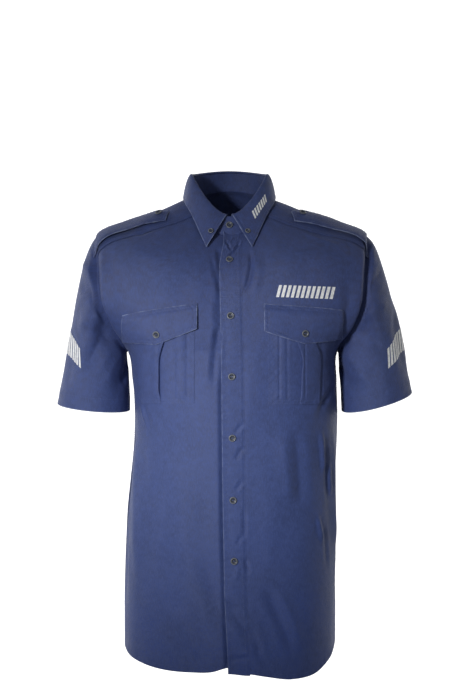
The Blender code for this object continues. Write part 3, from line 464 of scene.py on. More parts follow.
# Creases of the front as seen from straight ahead: from (x_a, z_a) to (x_b, z_b), bowed sideways in the
# middle. A trough has a depth below 0.
SeenCrease = namedtuple("SeenCrease", "x_a z_a x_b z_b bow width depth")
FRONT_CREASES = (
    SeenCrease(0.0185, -0.3640, 0.0040, -0.3830, 0.0015, 0.0035, -0.0011),
    SeenCrease(0.0180, -0.4030, 0.0040, -0.4250, 0.0020, 0.0040, -0.0012),
    SeenCrease(0.0185, -0.4560, 0.0045, -0.4750, 0.0015, 0.0035, -0.0011),
    SeenCrease(0.0190, -0.4980, 0.0200, -0.5600, 0.0010, 0.0035, -0.0011),
    SeenCrease(0.0200, -0.5420, 0.0080, -0.5640, -0.0010, 0.0035, -0.0009),
    SeenCrease(0.0205, -0.5820, 0.0270, -0.6120, 0.0010, 0.0040, -0.0014),
    SeenCrease(0.0120, -0.5950, 0.0060, -0.6200, 0.0000, 0.0040, 0.0007),
    SeenCrease(-0.0080, -0.6450, 0.0380, -0.7190, -0.0040, 0.0085, -0.0028),
    SeenCrease(0.0290, -0.6850, 0.0450, -0.7480, 0.0030, 0.0060, -0.0019),
    SeenCrease(-0.0050, -0.7480, 0.0330, -0.7420, 0.0015, 0.0040, -0.0014),
    SeenCrease(0.0130, -0.7300, 0.0500, -0.7600, 0.0020, 0.0060, 0.0014),
    SeenCrease(0.1010, -0.3700, 0.1130, -0.5150, 0.0030, 0.0120, -0.0026),
    SeenCrease(0.0800, -0.3800, 0.0920, -0.5000, 0.0020, 0.0130, 0.0014),
    SeenCrease(0.0480, -0.6250, 0.1000, -0.7450, 0.0050, 0.0090, -0.0026),
    SeenCrease(0.0720, -0.6300, 0.1150, -0.7300, 0.0040, 0.0090, 0.0016),
    SeenCrease(0.1440, -0.3750, 0.1500, -0.4560, 0.0010, 0.0050, 0.0026),
    SeenCrease(0.1530, -0.3900, 0.1560, -0.5000, 0.0010, 0.0060, -0.0016),
    SeenCrease(0.1590, -0.4300, 0.1610, -0.4900, 0.0000, 0.0040, 0.0020),
    SeenCrease(0.1390, -0.5150, 0.1490, -0.5640, -0.0015, 0.0045, 0.0024),
    SeenCrease(0.1500, -0.5250, 0.1560, -0.6100, 0.0010, 0.0060, -0.0015),
    SeenCrease(-0.0290, -0.3150, -0.0200, -0.2100, 0.0010, 0.0055, -0.0032),
    SeenCrease(-0.0310, -0.0950, -0.0200, -0.1550, 0.0020, 0.0050, -0.0016),
    SeenCrease(-0.0240, -0.1500, -0.0215, -0.2900, 0.0000, 0.0040, -0.0012),
    SeenCrease(0.0300, -0.0850, 0.0200, -0.1600, 0.0025, 0.0045, -0.0028),
    SeenCrease(0.0150, -0.0700, -0.0070, -0.0990, 0.0015, 0.0036, -0.0040),
    SeenCrease(-0.0100, -0.0700, 0.0020, -0.0900, 0.0000, 0.0032, -0.0026),
    SeenCrease(0.0040, -0.0660, -0.0120, -0.0850, 0.0010, 0.0030, 0.0022),
    SeenCrease(0.0440, -0.1000, 0.0330, -0.1650, 0.0020, 0.0070, 0.0012),
    SeenCrease(-0.1560, -0.0640, -0.1280, -0.0500, 0.0010, 0.0060, -0.0022),
    SeenCrease(0.1100, -0.0560, 0.1800, -0.0860, 0.0010, 0.0050, 0.0012),
    SeenCrease(0.1670, -0.2960, 0.1380, -0.3460, 0.0030, 0.0060, -0.0020),
    SeenCrease(0.1500, -0.3050, 0.1250, -0.3600, 0.0020, 0.0080, 0.0016),
    SeenCrease(-0.1500, -0.3350, -0.1380, -0.3700, 0.0010, 0.0040, 0.0014),
    SeenCrease(-0.1430, -0.3350, -0.1300, -0.3800, 0.0010, 0.0050, -0.0016),
    SeenCrease(-0.0850, -0.4000, -0.0950, -0.6000, 0.0060, 0.0200, 0.0016),
    SeenCrease(-0.1200, -0.4300, -0.1300, -0.6500, -0.0050, 0.0160, -0.0018),
    SeenCrease(-0.0500, -0.5700, -0.0100, -0.7200, 0.0060, 0.0140, -0.0020),
    SeenCrease(-0.0900, -0.6600, -0.0500, -0.7500, 0.0030, 0.0140, 0.0022),
)

# Creases of the sides and back, as turns and climbs.
Crease = namedtuple("Crease", "turn_a climb_a turn_b climb_b bow width depth")
BODY_CREASES = (
    Crease(70, -0.37, 76, -0.60, 0.004, 0.013, 0.0040),
    Crease(80, -0.40, 84, -0.66, 0.000, 0.010, -0.0035),
    Crease(-72, -0.38, -66, -0.62, 0.004, 0.016, 0.0030),
    Crease(-84, -0.36, -80, -0.70, 0.000, 0.012, -0.0030),
    Crease(-36, -0.42, -30, -0.70, 0.004, 0.020, 0.0020),
    Crease(150, -0.30, 165, -0.70, 0.010, 0.020, 0.0045),
    Crease(200, -0.28, 210, -0.68, -0.010, 0.020, 0.0045),
    Crease(178, -0.26, 180, -0.66, 0.004, 0.016, -0.0040),
    Crease(122, -0.30, 130, -0.62, 0.006, 0.014, -0.0045),
    Crease(236, -0.30, 228, -0.64, -0.006, 0.014, -0.0045),
    Crease(108, -0.26, 150, -0.42, 0.012, 0.009, -0.0040),
    Crease(103, -0.29, 140, -0.47, 0.012, 0.010, 0.0034),
    Crease(252, -0.26, 212, -0.40, -0.012, 0.009, -0.0040),
    Crease(257, -0.29, 222, -0.46, -0.010, 0.010, 0.0034),
    Crease(138, -0.12, 168, -0.24, -0.010, 0.012, -0.0028),
    Crease(220, -0.12, 190, -0.25, 0.010, 0.012, -0.0028),
    Crease(100, -0.50, 172, -0.535, 0.010, 0.010, -0.0034),
    Crease(112, -0.53, 166, -0.565, 0.008, 0.010, 0.0030),
    Crease(258, -0.49, 196, -0.530, -0.010, 0.010, -0.0034),
    Crease(250, -0.52, 202, -0.560, -0.008, 0.011, 0.0030),
    Crease(96, -0.42, 100, -0.70, 0.004, 0.009, -0.0030),
    Crease(264, -0.40, 262, -0.69, -0.004, 0.009, -0.0030),
    Crease(140, -0.60, 150, -0.77, 0.004, 0.014, -0.0035),
    Crease(214, -0.62, 206, -0.77, -0.004, 0.014, -0.0035),
    Crease(172, -0.66, 176, -0.78, 0.003, 0.012, 0.0035),
    Crease(115, -0.60, 120, -0.74, 0.003, 0.010, 0.0028),
    Crease(243, -0.60, 240, -0.74, -0.003, 0.010, 0.0028),
)

# Creases that follow an armhole's seam at a distance outside it, between two angles round the arm.
SeamCrease = namedtuple("SeamCrease", "side phi_a phi_b distance width depth")
SEAM_CREASES = (
    SeamCrease(1, -75, 92, 0.0020, 0.0056, -0.0074),
    SeamCrease(1, -50, 60, 0.0190, 0.0080, 0.0022),
    SeamCrease(1, -58, 20, 0.0340, 0.0060, -0.0016),
    SeamCrease(-1, -70, 70, 0.0025, 0.0050, -0.0050),
    SeamCrease(-1, -45, 50, 0.0190, 0.0070, 0.0020),
)


# Creases of the sleeves: phi and reach of both ends.
SleeveCrease = namedtuple("SleeveCrease", "phi_a reach_a phi_b reach_b bow width depth")
SLEEVE_CREASES = {
    "left": (
        SleeveCrease(-35, 0.06, 30, 0.72, 0.010, 0.011, -0.0050),
        SleeveCrease(-15, 0.04, 52, 0.52, 0.010, 0.009, 0.0042),
        SleeveCrease(10, 0.03, 66, 0.34, 0.008, 0.008, -0.0028),
        SleeveCrease(-60, 0.14, -8, 0.86, 0.006, 0.012, 0.0034),
        SleeveCrease(212, 0.08, 140, 0.75, -0.010, 0.012, -0.0050),
        SleeveCrease(196, 0.05, 122, 0.52, -0.010, 0.010, 0.0040),
        SleeveCrease(176, 0.04, 110, 0.34, -0.008, 0.009, -0.0026),
        SleeveCrease(240, 0.16, 190, 0.88, -0.004, 0.012, 0.0032),
        SleeveCrease(60, 0.55, 66, 0.88, 0.004, 0.012, -0.0022),
        SleeveCrease(84, 0.50, 88, 0.90, 0.002, 0.012, 0.0020),
        SleeveCrease(-80, 0.30, -50, 0.75, 0.004, 0.009, -0.0030),
    ),
    "right": (
        SleeveCrease(-38, 0.05, 22, 0.80, 0.008, 0.010, -0.0046),
        SleeveCrease(-18, 0.04, 44, 0.60, 0.010, 0.009, 0.0042),
        SleeveCrease(4, 0.03, 60, 0.40, 0.008, 0.008, -0.0030),
        SleeveCrease(24, 0.03, 72, 0.30, 0.006, 0.008, 0.0026),
        SleeveCrease(-62, 0.12, -12, 0.84, 0.006, 0.012, 0.0030),
        SleeveCrease(214, 0.10, 138, 0.72, -0.010, 0.012, -0.0048),
        SleeveCrease(198, 0.05, 118, 0.50, -0.010, 0.010, 0.0040),
        SleeveCrease(172, 0.03, 108, 0.32, -0.008, 0.009, -0.0026),
        SleeveCrease(238, 0.14, 186, 0.90, -0.004, 0.012, 0.0030),
        SleeveCrease(48, 0.60, 56, 0.92, 0.004, 0.014, -0.0020),
        SleeveCrease(-82, 0.28, -52, 0.72, 0.004, 0.009, -0.0028),
    ),
}
SLEEVE_ROUND = 0.400
SLEEVE_LONG = 0.230

# Reflective strips: plain slanted bars.
BAR_WIDTH = 0.0048
BAR_GAP = 0.0030
BAR_SLANT = 0.0050
BAR_RISE = 0.00045
CHEST_STRIP_X = (0.0715, 0.1630)
CHEST_STRIP_Z = (-0.1455, -0.1650)
CHEST_STRIP_FALL = 0.0030
SLEEVE_STRIP_PHI = (24.0, 126.0)
SLEEVE_STRIP_REACH = {"left": (0.680, 0.785), "right": (0.655, 0.755)}
COLLAR_STRIP_TURN = (26.5, 56.0)
COLLAR_STRIP_SHARE = (0.675, 0.835)

# Stations along one stitch: share of its length, of its thread's radius, and of its height off the cloth.
Station = namedtuple("Station", "along radius height")
STITCH_STATIONS = (Station(0.14, 0.80, 0.1), Station(0.50, 1.00, 0.5), Station(0.86, 0.80, 0.1))


class ShirtCloth(bpy.types.PropertyGroup):
    """Sizes and colours of the cloth and its sewing."""

    cloth_colour: FloatVectorProperty(
        name="Cloth colour", description="Colour of the cloth", subtype="COLOR", size=3,
        default=(0.036, 0.061, 0.192), min=0, max=1,
    )
    # Colour of the pale edges: partly rubbed wear, partly a painted highlight where light catches the cloth's edges.
    worn_highlit_edge_colour: FloatVectorProperty(
        name="Worn edge colour", description="Colour of the cloth where an edge has rubbed pale",
        subtype="COLOR", size=3, default=(0.200, 0.245, 0.400), min=0, max=1,
    )
    thread_colour: FloatVectorProperty(
        name="Thread colour", description="Colour of the sewing thread", subtype="COLOR", size=3,
        default=(0.062, 0.090, 0.225), min=0, max=1,
    )
    strip_colour: FloatVectorProperty(
        name="Strip colour", description="Colour of the reflective bars", subtype="COLOR", size=3,
        default=(0.860, 0.870, 0.880), min=0, max=1,
    )
    thickness: FloatProperty(
        name="Cloth thickness", description="Thickness of one layer of cloth", unit="LENGTH",
        default=0.0006, min=0.0002, max=0.0015,
    )
    mesh_spacing: FloatProperty(
        name="Mesh spacing", description="Distance between the points of the large panels", unit="LENGTH",
        default=0.0027, min=0.0015, max=0.02,
    )
    crease_strength: FloatProperty(
        name="Crease strength", description="Depth of all creases against the photograph's", default=1.3,
        min=0, max=2,
    )
    weave_pitch: FloatProperty(
        name="Weave pitch", description="Distance between two ribs of the twill", unit="LENGTH",
        default=0.0007, min=0.0002, max=0.005,
    )
    stitch_pitch: FloatProperty(
        name="Stitch pitch", description="Distance from one stitch to the next", unit="LENGTH",
        default=0.0031, min=0.001, max=0.01,
    )
    thread_radius: FloatProperty(
        name="Thread radius", description="Half the sewing thread's thickness", unit="LENGTH",
        default=0.00026, min=0.0001, max=0.001,
    )


class ShirtButtons(bpy.types.PropertyGroup):
    """Sizes and colours of the buttons."""

    colour: FloatVectorProperty(
        name="Button colour", description="Colour of the buttons", subtype="COLOR", size=3,
        default=(0.040, 0.047, 0.066), min=0, max=1,
    )
    # A lighter tone on the buttons' raised outer rim.
    rim_colour: FloatVectorProperty(
        name="Rim colour", description="Colour of the buttons' rubbed rims", subtype="COLOR", size=3,
        default=(0.150, 0.162, 0.190), min=0, max=1,
    )
    sides: IntProperty(name="Sides", description="Points round a button", default=48, min=16, max=96)


class ShirtStage(bpy.types.PropertyGroup):
    """Lights, floor and camera."""

    key_power: FloatProperty(
        name="Front light", description="Power of the large light in front, to the left", unit="POWER",
        default=305.0, min=0,
    )
    rim_power: FloatProperty(
        name="Side light", description="Power of the light at the left side", unit="POWER",
        default=8.0, min=0,
    )
    back_glow: FloatProperty(
        name="Backdrop glow", description="Brightness of the backdrop behind the shirt", default=1.15, min=0,
    )
    front_glow: FloatProperty(
        name="Room glow", description="Brightness of the backdrop in front of the shirt", default=0.08, min=0,
    )
    floor_height: FloatProperty(
        name="Floor height", description="Height of the floor", unit="LENGTH", default=-1.5,
    )


def crease_line(a, b, bow, count=9):
    """Line in the flattened plane from a to b: a parabola whose middle stands bow to the left of the chord."""
    t = np.linspace(0, 1, count)[:, None]
    run = b - a
    side = np.array([-run[1], run[0]]) / np.hypot(*run)
    return a + run * t + side * (4 * bow * t * (1 - t))


def crease_height(s, c, creases, around):
    """Height of all creases at (s, c) of the flattened plane, which repeats after the length around.

    Across a crease the height is exp(-q ** 1.6) less a low lip near q = 1.8, where q is the distance over the
    width; along it the height eases in and out over a quarter of its length.
    """
    total = np.zeros(s.shape)
    for line, width, depth in creases:
        middle = line.mean(axis=0)
        near = (s - middle[0] + around / 2) % around - around / 2 + middle[0]
        low, high = line.min(axis=0) - 3.2 * width, line.max(axis=0) + 3.2 * width
        at = np.nonzero((near > low[0]) & (near < high[0]) & (c > low[1]) & (c < high[1]))
        if not len(at[0]):
            continue
        spot = np.stack([near[at], c[at]], axis=-1)
        best, share = np.full(len(spot), 1e9), np.zeros(len(spot))
        for i in range(len(line) - 1):
            run = line[i + 1] - line[i]
            t = np.clip((spot - line[i]) @ run / (run @ run), 0, 1)
            gap = np.hypot(*(spot - line[i] - t[:, None] * run).T)
            share = np.where(gap < best, (i + t) / (len(line) - 1), share)
            best = np.minimum(best, gap)
        q = best / width
        across = np.exp(-(q**1.6)) - 0.22 * np.exp(-(((q - 1.8) / 0.7) ** 2))
        total[at] += depth * across * ease(share, 0, 0.28) * (1 - ease(share, 0.72, 1))
    return total


def drape(points, seed=11, count=30, height=0.00055):
    """Gentle unevenness of hanging cloth: a sum of plane waves, mostly level ones, of 35 to 170 mm."""
    draw = np.random.default_rng(seed)
    lengths = 0.035 * (0.17 / 0.035) ** draw.random(count)
    ways = draw.normal(size=(count, 3)) * (1.0, 1.0, 0.30)
    ways /= np.linalg.norm(ways, axis=1, keepdims=True)
    phases = draw.random(count) * 2 * np.pi
    total = np.zeros(points.shape[:-1])
    for way, length, phase in zip(ways, lengths, phases, strict=True):
        total += (length / 0.17) ** 0.8 * np.sin(points @ way * (2 * np.pi / length) + phase)
    return height * total / np.sqrt(count / 4)


def pucker(along, across, reach=0.0055, height=0.00028):
    """Pull of a seam: uneven waves about 9 mm long beside it, dying away with the distance across it."""
    waves = np.sin(along * 700 + 1.9 * np.sin(along * 173)) + 0.5 * np.sin(along * 1190 + 2.3)
    return height * waves * np.exp(-((across / reach) ** 2))


def flat_lengths():
    """Distance round the body at each whole and half turn, at the waist, as the flattened plane's s."""
    turns = np.linspace(-360, 360, 1441)
    ring_points = smooth_torso(turns, -0.40)
    steps = np.linalg.norm(np.diff(ring_points, axis=0), axis=1)
    lengths = np.concatenate([[0], np.cumsum(steps)])
    return turns, lengths - lengths[720]


SIDE_RADIUS = 0.22
FLAT_TURNS, FLAT_LENGTHS = flat_lengths()
GIRTH = FLAT_LENGTHS[-1]


def flat_of(turn):
    return np.interp(turn, FLAT_TURNS, FLAT_LENGTHS)


def armhole_place(side, phi, grow=0.0):
    """(turn, climb) on the armhole at phi round the arm, grown outwards by a length."""
    middle, half = (SHOULDER_TIP + ARMPIT) / 2, (SHOULDER_TIP - ARMPIT) / 2
    spread = ARMHOLE_TURN + np.degrees(grow / SIDE_RADIUS)
    turn = side * (90 - spread * np.cos(np.radians(phi)))
    return turn, middle + (half + grow) * np.sin(np.radians(phi))


def torso_creases():
    """Every crease of the torso as (line in the flattened plane, width, depth)."""
    seen = np.array([(row.x_a, row.z_a, row.x_b, row.z_b) for row in FRONT_CREASES])
    turn_a, climb_a = place_at(seen[:, 0], seen[:, 1])
    turn_b, climb_b = place_at(seen[:, 2], seen[:, 3])
    a = np.stack([flat_of(turn_a), climb_a], axis=1)
    b = np.stack([flat_of(turn_b), climb_b], axis=1)
    found = [
        (crease_line(start, end, row.bow), row.width, row.depth)
        for start, end, row in zip(a, b, FRONT_CREASES, strict=True)
    ]
    for row in BODY_CREASES:
        start = np.array([flat_of(row.turn_a), row.climb_a])
        end = np.array([flat_of(row.turn_b), row.climb_b])
        found.append((crease_line(start, end, row.bow), row.width, row.depth))
    for row in SEAM_CREASES:
        turn, climb = armhole_place(row.side, np.linspace(row.phi_a, row.phi_b, 16), row.distance)
        found.append((np.stack([flat_of(turn), climb], axis=1), row.width, row.depth))
    return found


TORSO_CREASES = torso_creases()


def on_torso(turn, climb, lift=0.0):
    """Points of the creased torso moved out by lift, and its unit normals."""
    turn, climb, lift = np.broadcast_arrays(*(np.asarray(x, float) for x in (turn, climb, lift)))
    base, normal = smooth_torso(turn, climb), normals(smooth_torso, turn, climb, 0.2, 0.0005)
    strength = bpy.context.scene.shirt_cloth.crease_strength
    height = crease_height(flat_of(turn), climb, TORSO_CREASES, GIRTH) + drape(base)
    height = height * (1 - ease(climb, NECKLINE - 0.010, NECKLINE))
    return base + normal * (strength * height + lift)[..., None], normal


def on_sleeve(name, phi, reach, lift=0.0):
    """Points of a creased sleeve moved out by lift, and its unit normals pointing away from the arm."""
    cuff = CUFFS[name]
    phi, reach, lift = np.broadcast_arrays(*(np.asarray(x, float) for x in (phi, reach, lift)))

    def bare(u, v):
        return smooth_sleeve(cuff, u, v)

    base = bare(phi, np.clip(reach, 0, 1))
    normal = -cuff.side * normals(bare, phi, np.clip(reach, 0.003, 1), 1.0, 0.002)
    lines = [
        (
            crease_line(
                np.array([row.phi_a * SLEEVE_ROUND / 360, row.reach_a * SLEEVE_LONG]),
                np.array([row.phi_b * SLEEVE_ROUND / 360, row.reach_b * SLEEVE_LONG]),
                row.bow,
            ),
            row.width,
            row.depth,
        )
        for row in SLEEVE_CREASES[name]
    ]
    strength = bpy.context.scene.shirt_cloth.crease_strength
    height = crease_height(phi * SLEEVE_ROUND / 360, reach * SLEEVE_LONG, lines, SLEEVE_ROUND)
    height = (height + drape(base, seed=5)) * ease(reach, 0.0, 0.12)
    return base + normal * (strength * height + lift)[..., None], normal


def on_stand(turn, share, lift=0.0):
    """Points of the collar stand moved out by lift, and its outward unit normals."""
    turn, share, lift = np.broadcast_arrays(*(np.asarray(x, float) for x in (turn, share, lift)))
    normal = normals(stand_point, turn, share, 0.5, 0.01)
    return stand_point(turn, share) + normal * lift[..., None], normal


def on_leaf(turn, share, lift=0.0):
    """Points of the collar leaf moved out by lift, and the unit normals of the face that shows."""
    turn, share, lift = np.broadcast_arrays(*(np.asarray(x, float) for x in (turn, share, lift)))
    normal = -normals(leaf_point, turn, share, 0.05, 0.002)
    return leaf_point(turn, share) + normal * lift[..., None], normal


def shares(length, pitch, start_edge=False, end_edge=False):
    """Shares from 0 to 1 of a length at about the pitch, with close ones beside a finished edge."""
    found = np.linspace(0, 1, max(int(round(length / pitch)), 2) + 1)
    near = np.array([0.00025, 0.0008]) / length
    if start_edge:
        found = np.concatenate([[0], near, found[1:]])
    if end_edge:
        found = np.concatenate([found[:-1], 1 - near[::-1], [1]])
    return found


def lengths_along(points):
    """Running length from the first row to each row of a grid."""
    steps = np.linalg.norm(np.diff(points, axis=0), axis=-1)
    return np.concatenate([np.zeros((1, points.shape[1])), np.cumsum(steps, axis=0)])


def edge_distances(points, edges):
    """Distance of each grid point to the nearest of the named edges: low, high rows and near, far columns."""
    rows = lengths_along(points)
    columns = lengths_along(points.transpose(1, 0, 2)).T
    found = {"low": rows, "high": rows[-1] - rows, "near": columns, "far": columns[:, -1:] - columns}
    best = np.full(points.shape[:2], 1.0)
    for edge in edges:
        best = np.minimum(best, found[edge])
    return best


def mesh_from(name, points, face_arrays):
    """Mesh of points and of arrays of faces, each array with one number of corners."""
    corners = np.concatenate([faces.ravel() for faces in face_arrays]).astype(np.int32)
    sizes = np.concatenate([np.full(len(faces), faces.shape[1]) for faces in face_arrays])
    starts = np.concatenate([[0], np.cumsum(sizes)[:-1]]).astype(np.int32)
    mesh = bpy.data.meshes.new(name)
    mesh.vertices.add(len(points))
    mesh.vertices.foreach_set("co", np.ascontiguousarray(points, np.float32).ravel())
    mesh.loops.add(len(corners))
    mesh.loops.foreach_set("vertex_index", corners)
    mesh.polygons.add(len(sizes))
    mesh.polygons.foreach_set("loop_start", starts)
    mesh.update(calc_edges=True)
    return mesh


def sheet_faces(rows, columns, closed):
    """Corner numbers of a grid's quads in the unwrapped grid, whose rows have one more column if closed."""
    wide = columns + 1 if closed else columns
    index = np.arange(rows * wide).reshape(rows, wide)
    quads = np.stack([index[:-1, :-1], index[:-1, 1:], index[1:, 1:], index[1:, :-1]], axis=-1)
    return quads.reshape(-1, 4), index


def shell(name, inner, outer, closed=False, edges=(), edge_wear_and_highlight=1.0):
    """Closed shell between two grids of points, with a flat UV map in metres and the distance to its edges.

    Its outer face is the outer grid, its rims join the two grids' borders, and every face points out of it.
    """
    rows, columns = inner.shape[:2]
    quads, index = sheet_faces(rows, columns, closed)
    wide = index.shape[1]
    far = rows * wide
    loops = [index[0], index[-1][::-1]]
    if not closed:
        loops = [np.concatenate([index[0], index[1:, -1], index[-1, -2::-1], index[-2::-1, 0]])]
    rims = [np.stack([far + b[1:], far + b[:-1], b[:-1], b[1:]], axis=-1) for b in loops]
    flipped = outward_sign(inner, outer) < 0
    faces = np.concatenate([quads + far, quads[:, ::-1], *rims])
    if flipped:
        faces = faces[:, ::-1]
    grid_row, grid_column = np.divmod(np.arange(rows * wide), wide)
    vertex = grid_row * columns + grid_column % columns
    vertex = np.concatenate([vertex, vertex + rows * columns])
    mesh = mesh_from(name, np.concatenate([inner.reshape(-1, 3), outer.reshape(-1, 3)]), [vertex[faces]])
    middle = (inner + outer) / 2
    wrapped = np.concatenate([middle, middle[:, :1]], axis=1) if closed else middle
    u = lengths_along(wrapped.transpose(1, 0, 2)).mean(axis=1)
    v = lengths_along(wrapped).mean(axis=1)
    flat = np.stack(np.broadcast_arrays(u[None, :], v[:, None]), axis=-1).reshape(-1, 2)
    flat = np.concatenate([flat, flat])
    layer = mesh.uv_layers.new(name="weave")
    layer.data.foreach_set("uv", flat[faces].astype(np.float32).ravel())
    # A lower share pushes back the pale edges, which are partly rubbed wear and partly a painted highlight, by adding
    # to the edge distance.
    distance = np.clip(edge_distances(middle, edges) + (1 - edge_wear_and_highlight) * 0.002, 0, 0.03).astype(np.float32).ravel()
    mesh.attributes.new("edge", "FLOAT", "POINT").data.foreach_set("value", np.tile(distance, 2))
    mesh.shade_smooth()
    mesh.set_sharp_from_angle(angle=1.05)
    return mesh


def outward_sign(inner, outer):
    """1 where the grid's step across crossed with its step up points from the inner to the outer face."""
    across = np.diff(outer, axis=1)[:-1]
    along = np.diff(outer, axis=0)[:, :-1]
    return np.sign((np.cross(across, along) * (outer - inner)[:-1, :-1]).sum())


def piece(name, mesh, finish, *nodes, slot="navy_cloth"):
    """Object of a mesh that rides on the root body and stands for CAD nodes."""
    made = bpy.data.objects.new(name, mesh)
    bpy.context.scene.collection.objects.link(made)
    mesh.materials.append(finish)
    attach(made, "root")
    if nodes:
        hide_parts(*nodes)
    return made


Panel = namedtuple("Panel", "outer normal")


def cloth_between(name, points, normal, layers, edges, edge_wear_and_highlight=1.0, closed=False, nodes=()):
    """Cloth piece whose middle is points: layers times the cloth's thickness, rounded off at its edges.

    Edge wear and highlight, from 0 to 1, is how pale its edges are: partly rubbed wear, partly a painted highlight.
    """
    cloth = bpy.context.scene.shirt_cloth.thickness
    full = np.broadcast_to(np.asarray(layers, float) * cloth / 2, points.shape[:2])
    distance = edge_distances(points, edges)
    round_off = np.sqrt(1 - (1 - np.clip(distance / np.maximum(full, 1e-6), 0, 1)) ** 2)
    half = (full * np.maximum(round_off, 0.3))[..., None]
    inner, outer = points - normal * half, points + normal * half
    made = piece(name, shell(name, inner, outer, closed, edges, edge_wear_and_highlight), cloth_finish(), *nodes)
    return made, Panel(outer, normal)


def inset(panel, border, distance, start_trim=0.0, end_trim=0.0):
    """Line on a panel's outer face at a distance inside one border, cut back at its two ends."""
    points, normal = panel
    if border in ("near", "far"):
        points, normal = points.transpose(1, 0, 2), normal.transpose(1, 0, 2)
    if border in ("high", "far"):
        points, normal = points[::-1], normal[::-1]
    lengths = lengths_along(points)
    k = np.clip((lengths < distance).sum(axis=0), 1, len(points) - 1)
    columns = np.arange(points.shape[1])
    before, after = lengths[k - 1, columns], lengths[k, columns]
    t = ((distance - before) / np.maximum(after - before, 1e-9))[:, None]
    line = points[k - 1, columns] + t * (points[k, columns] - points[k - 1, columns])
    up = normal[k - 1, columns] + t * (normal[k, columns] - normal[k - 1, columns])
    run = lengths_along(line[:, None])[:, 0]
    keep = (run >= start_trim) & (run <= run[-1] - end_trim)
    return line[keep], up[keep]


def stitches_on(line, up):
    """(starts, ends, normals) of the stitches along a line."""
    cloth = bpy.context.scene.shirt_cloth
    run = lengths_along(line[:, None])[:, 0]
    count = int(run[-1] / cloth.stitch_pitch)
    middles = (np.arange(count) + 0.5) * run[-1] / max(count, 1)
    half = 0.36 * cloth.stitch_pitch
    ends = [np.stack([np.interp(middles + d, run, line[:, k]) for k in range(3)], axis=-1) for d in (-half, half)]
    raised = np.stack([np.interp(middles, run, up[:, k]) for k in range(3)], axis=-1)
    return ends[0], ends[1], raised


def thread_mesh(name, runs, radius):
    """One mesh of stitches: each is a bent capsule of three rings of four points between two sunk ends."""
    starts, ends, up = (np.concatenate([run[k] for run in runs]) for k in range(3))
    up = up / np.linalg.norm(up, axis=-1, keepdims=True)
    way = ends - starts
    side = np.cross(up, way)
    side = side / np.maximum(np.linalg.norm(side, axis=-1, keepdims=True), 1e-9)
    points = [starts - up * radius * 0.6]
    for station in STITCH_STATIONS:
        centre = starts + way * station.along + up * radius * station.height
        for angle in np.radians([0, 90, 180, 270]):
            reach = radius * station.radius
            points.append(centre + (side * np.cos(angle) + up * np.sin(angle)) * reach)
    points.append(ends - up * radius * 0.6)
    points = np.stack(points, axis=1)
    turn = np.arange(4)
    after = (turn + 1) % 4
    tips = np.concatenate(
        [np.stack([0 * turn, 1 + after, 1 + turn], axis=1), np.stack([0 * turn + 13, 9 + turn, 9 + after], axis=1)]
    )
    sides = np.concatenate(
        [np.stack([1 + k + turn, 1 + k + after, 5 + k + after, 5 + k + turn], axis=1) for k in (0, 4)]
    )
    first = (np.arange(len(points)) * 14)[:, None, None]
    faces = [(first + tips).reshape(-1, 3), (first + sides).reshape(-1, 4)]
    mesh = mesh_from(name, points.reshape(-1, 3), faces)
    mesh.shade_smooth()
    return mesh


def sew(name, lines, bars=()):
    """Stitches along lines and tight bars of thread, as one piece."""
    runs = [stitches_on(*line) for line in lines if len(line[0]) > 2] + list(bars)
    radius = bpy.context.scene.shirt_cloth.thread_radius
    return piece(name, thread_mesh(name, runs, radius), thread_finish(), slot="thread")


def tacks(centre, way, up, length, width, count):
    """Bars of thread side by side across way: a bartack, or one side of a buttonhole."""
    centre, way, up = (np.asarray(x, float) for x in (centre, way, up))
    way = way / np.linalg.norm(way)
    across = np.cross(up, way)
    places = centre + way * (np.linspace(-0.5, 0.5, count) * length)[:, None]
    return places - across * width / 2, places + across * width / 2, np.tile(up, (count, 1))


def buttonhole(centre, way, up, length=0.0150):
    """Both stitched lips of a buttonhole and its two bartacks, as runs of bars."""
    way = np.asarray(way, float) / np.linalg.norm(way)
    across = np.cross(up, way)
    lips = [tacks(centre + across * offset, way, up, length, 0.0013, 26) for offset in (-0.0009, 0.0009)]
    bars = [tacks(centre + way * end * length / 2, across, up, 0.0030, 0.0012, 6) for end in (-1, 1)]
    return lips + bars


def node(tree, kind, inputs=None, **settings):
    """New shader node; inputs are sockets to link from, or numbers."""
    made = tree.nodes.new(kind)
    for key, value in settings.items():
        setattr(made, key, value)
    for key, value in (inputs or {}).items():
        if isinstance(value, bpy.types.NodeSocket):
            tree.links.new(value, made.inputs[key])
        else:
            made.inputs[key].default_value = value
    return made


def new_finish(name):
    made = bpy.data.materials.new(name)
    made.use_nodes = True
    tree = made.node_tree
    return made, tree, tree.nodes["Principled BSDF"]


def ranged(tree, value, low, high, to_low, to_high):
    """Value mapped from one range to another, held at its ends."""
    inputs = {"Value": value, "From Min": low, "From Max": high, "To Min": to_low, "To Max": to_high}
    return node(tree, "ShaderNodeMapRange", inputs).outputs["Result"]


def mixed(tree, share, a, b, blend="MIX"):
    made = node(tree, "ShaderNodeMix", data_type="RGBA", blend_type=blend)
    for socket, value in ((made.inputs[0], share), (made.inputs[6], a), (made.inputs[7], b)):
        if isinstance(value, bpy.types.NodeSocket):
            tree.links.new(value, socket)
        else:
            socket.default_value = value
    return made.outputs[2]


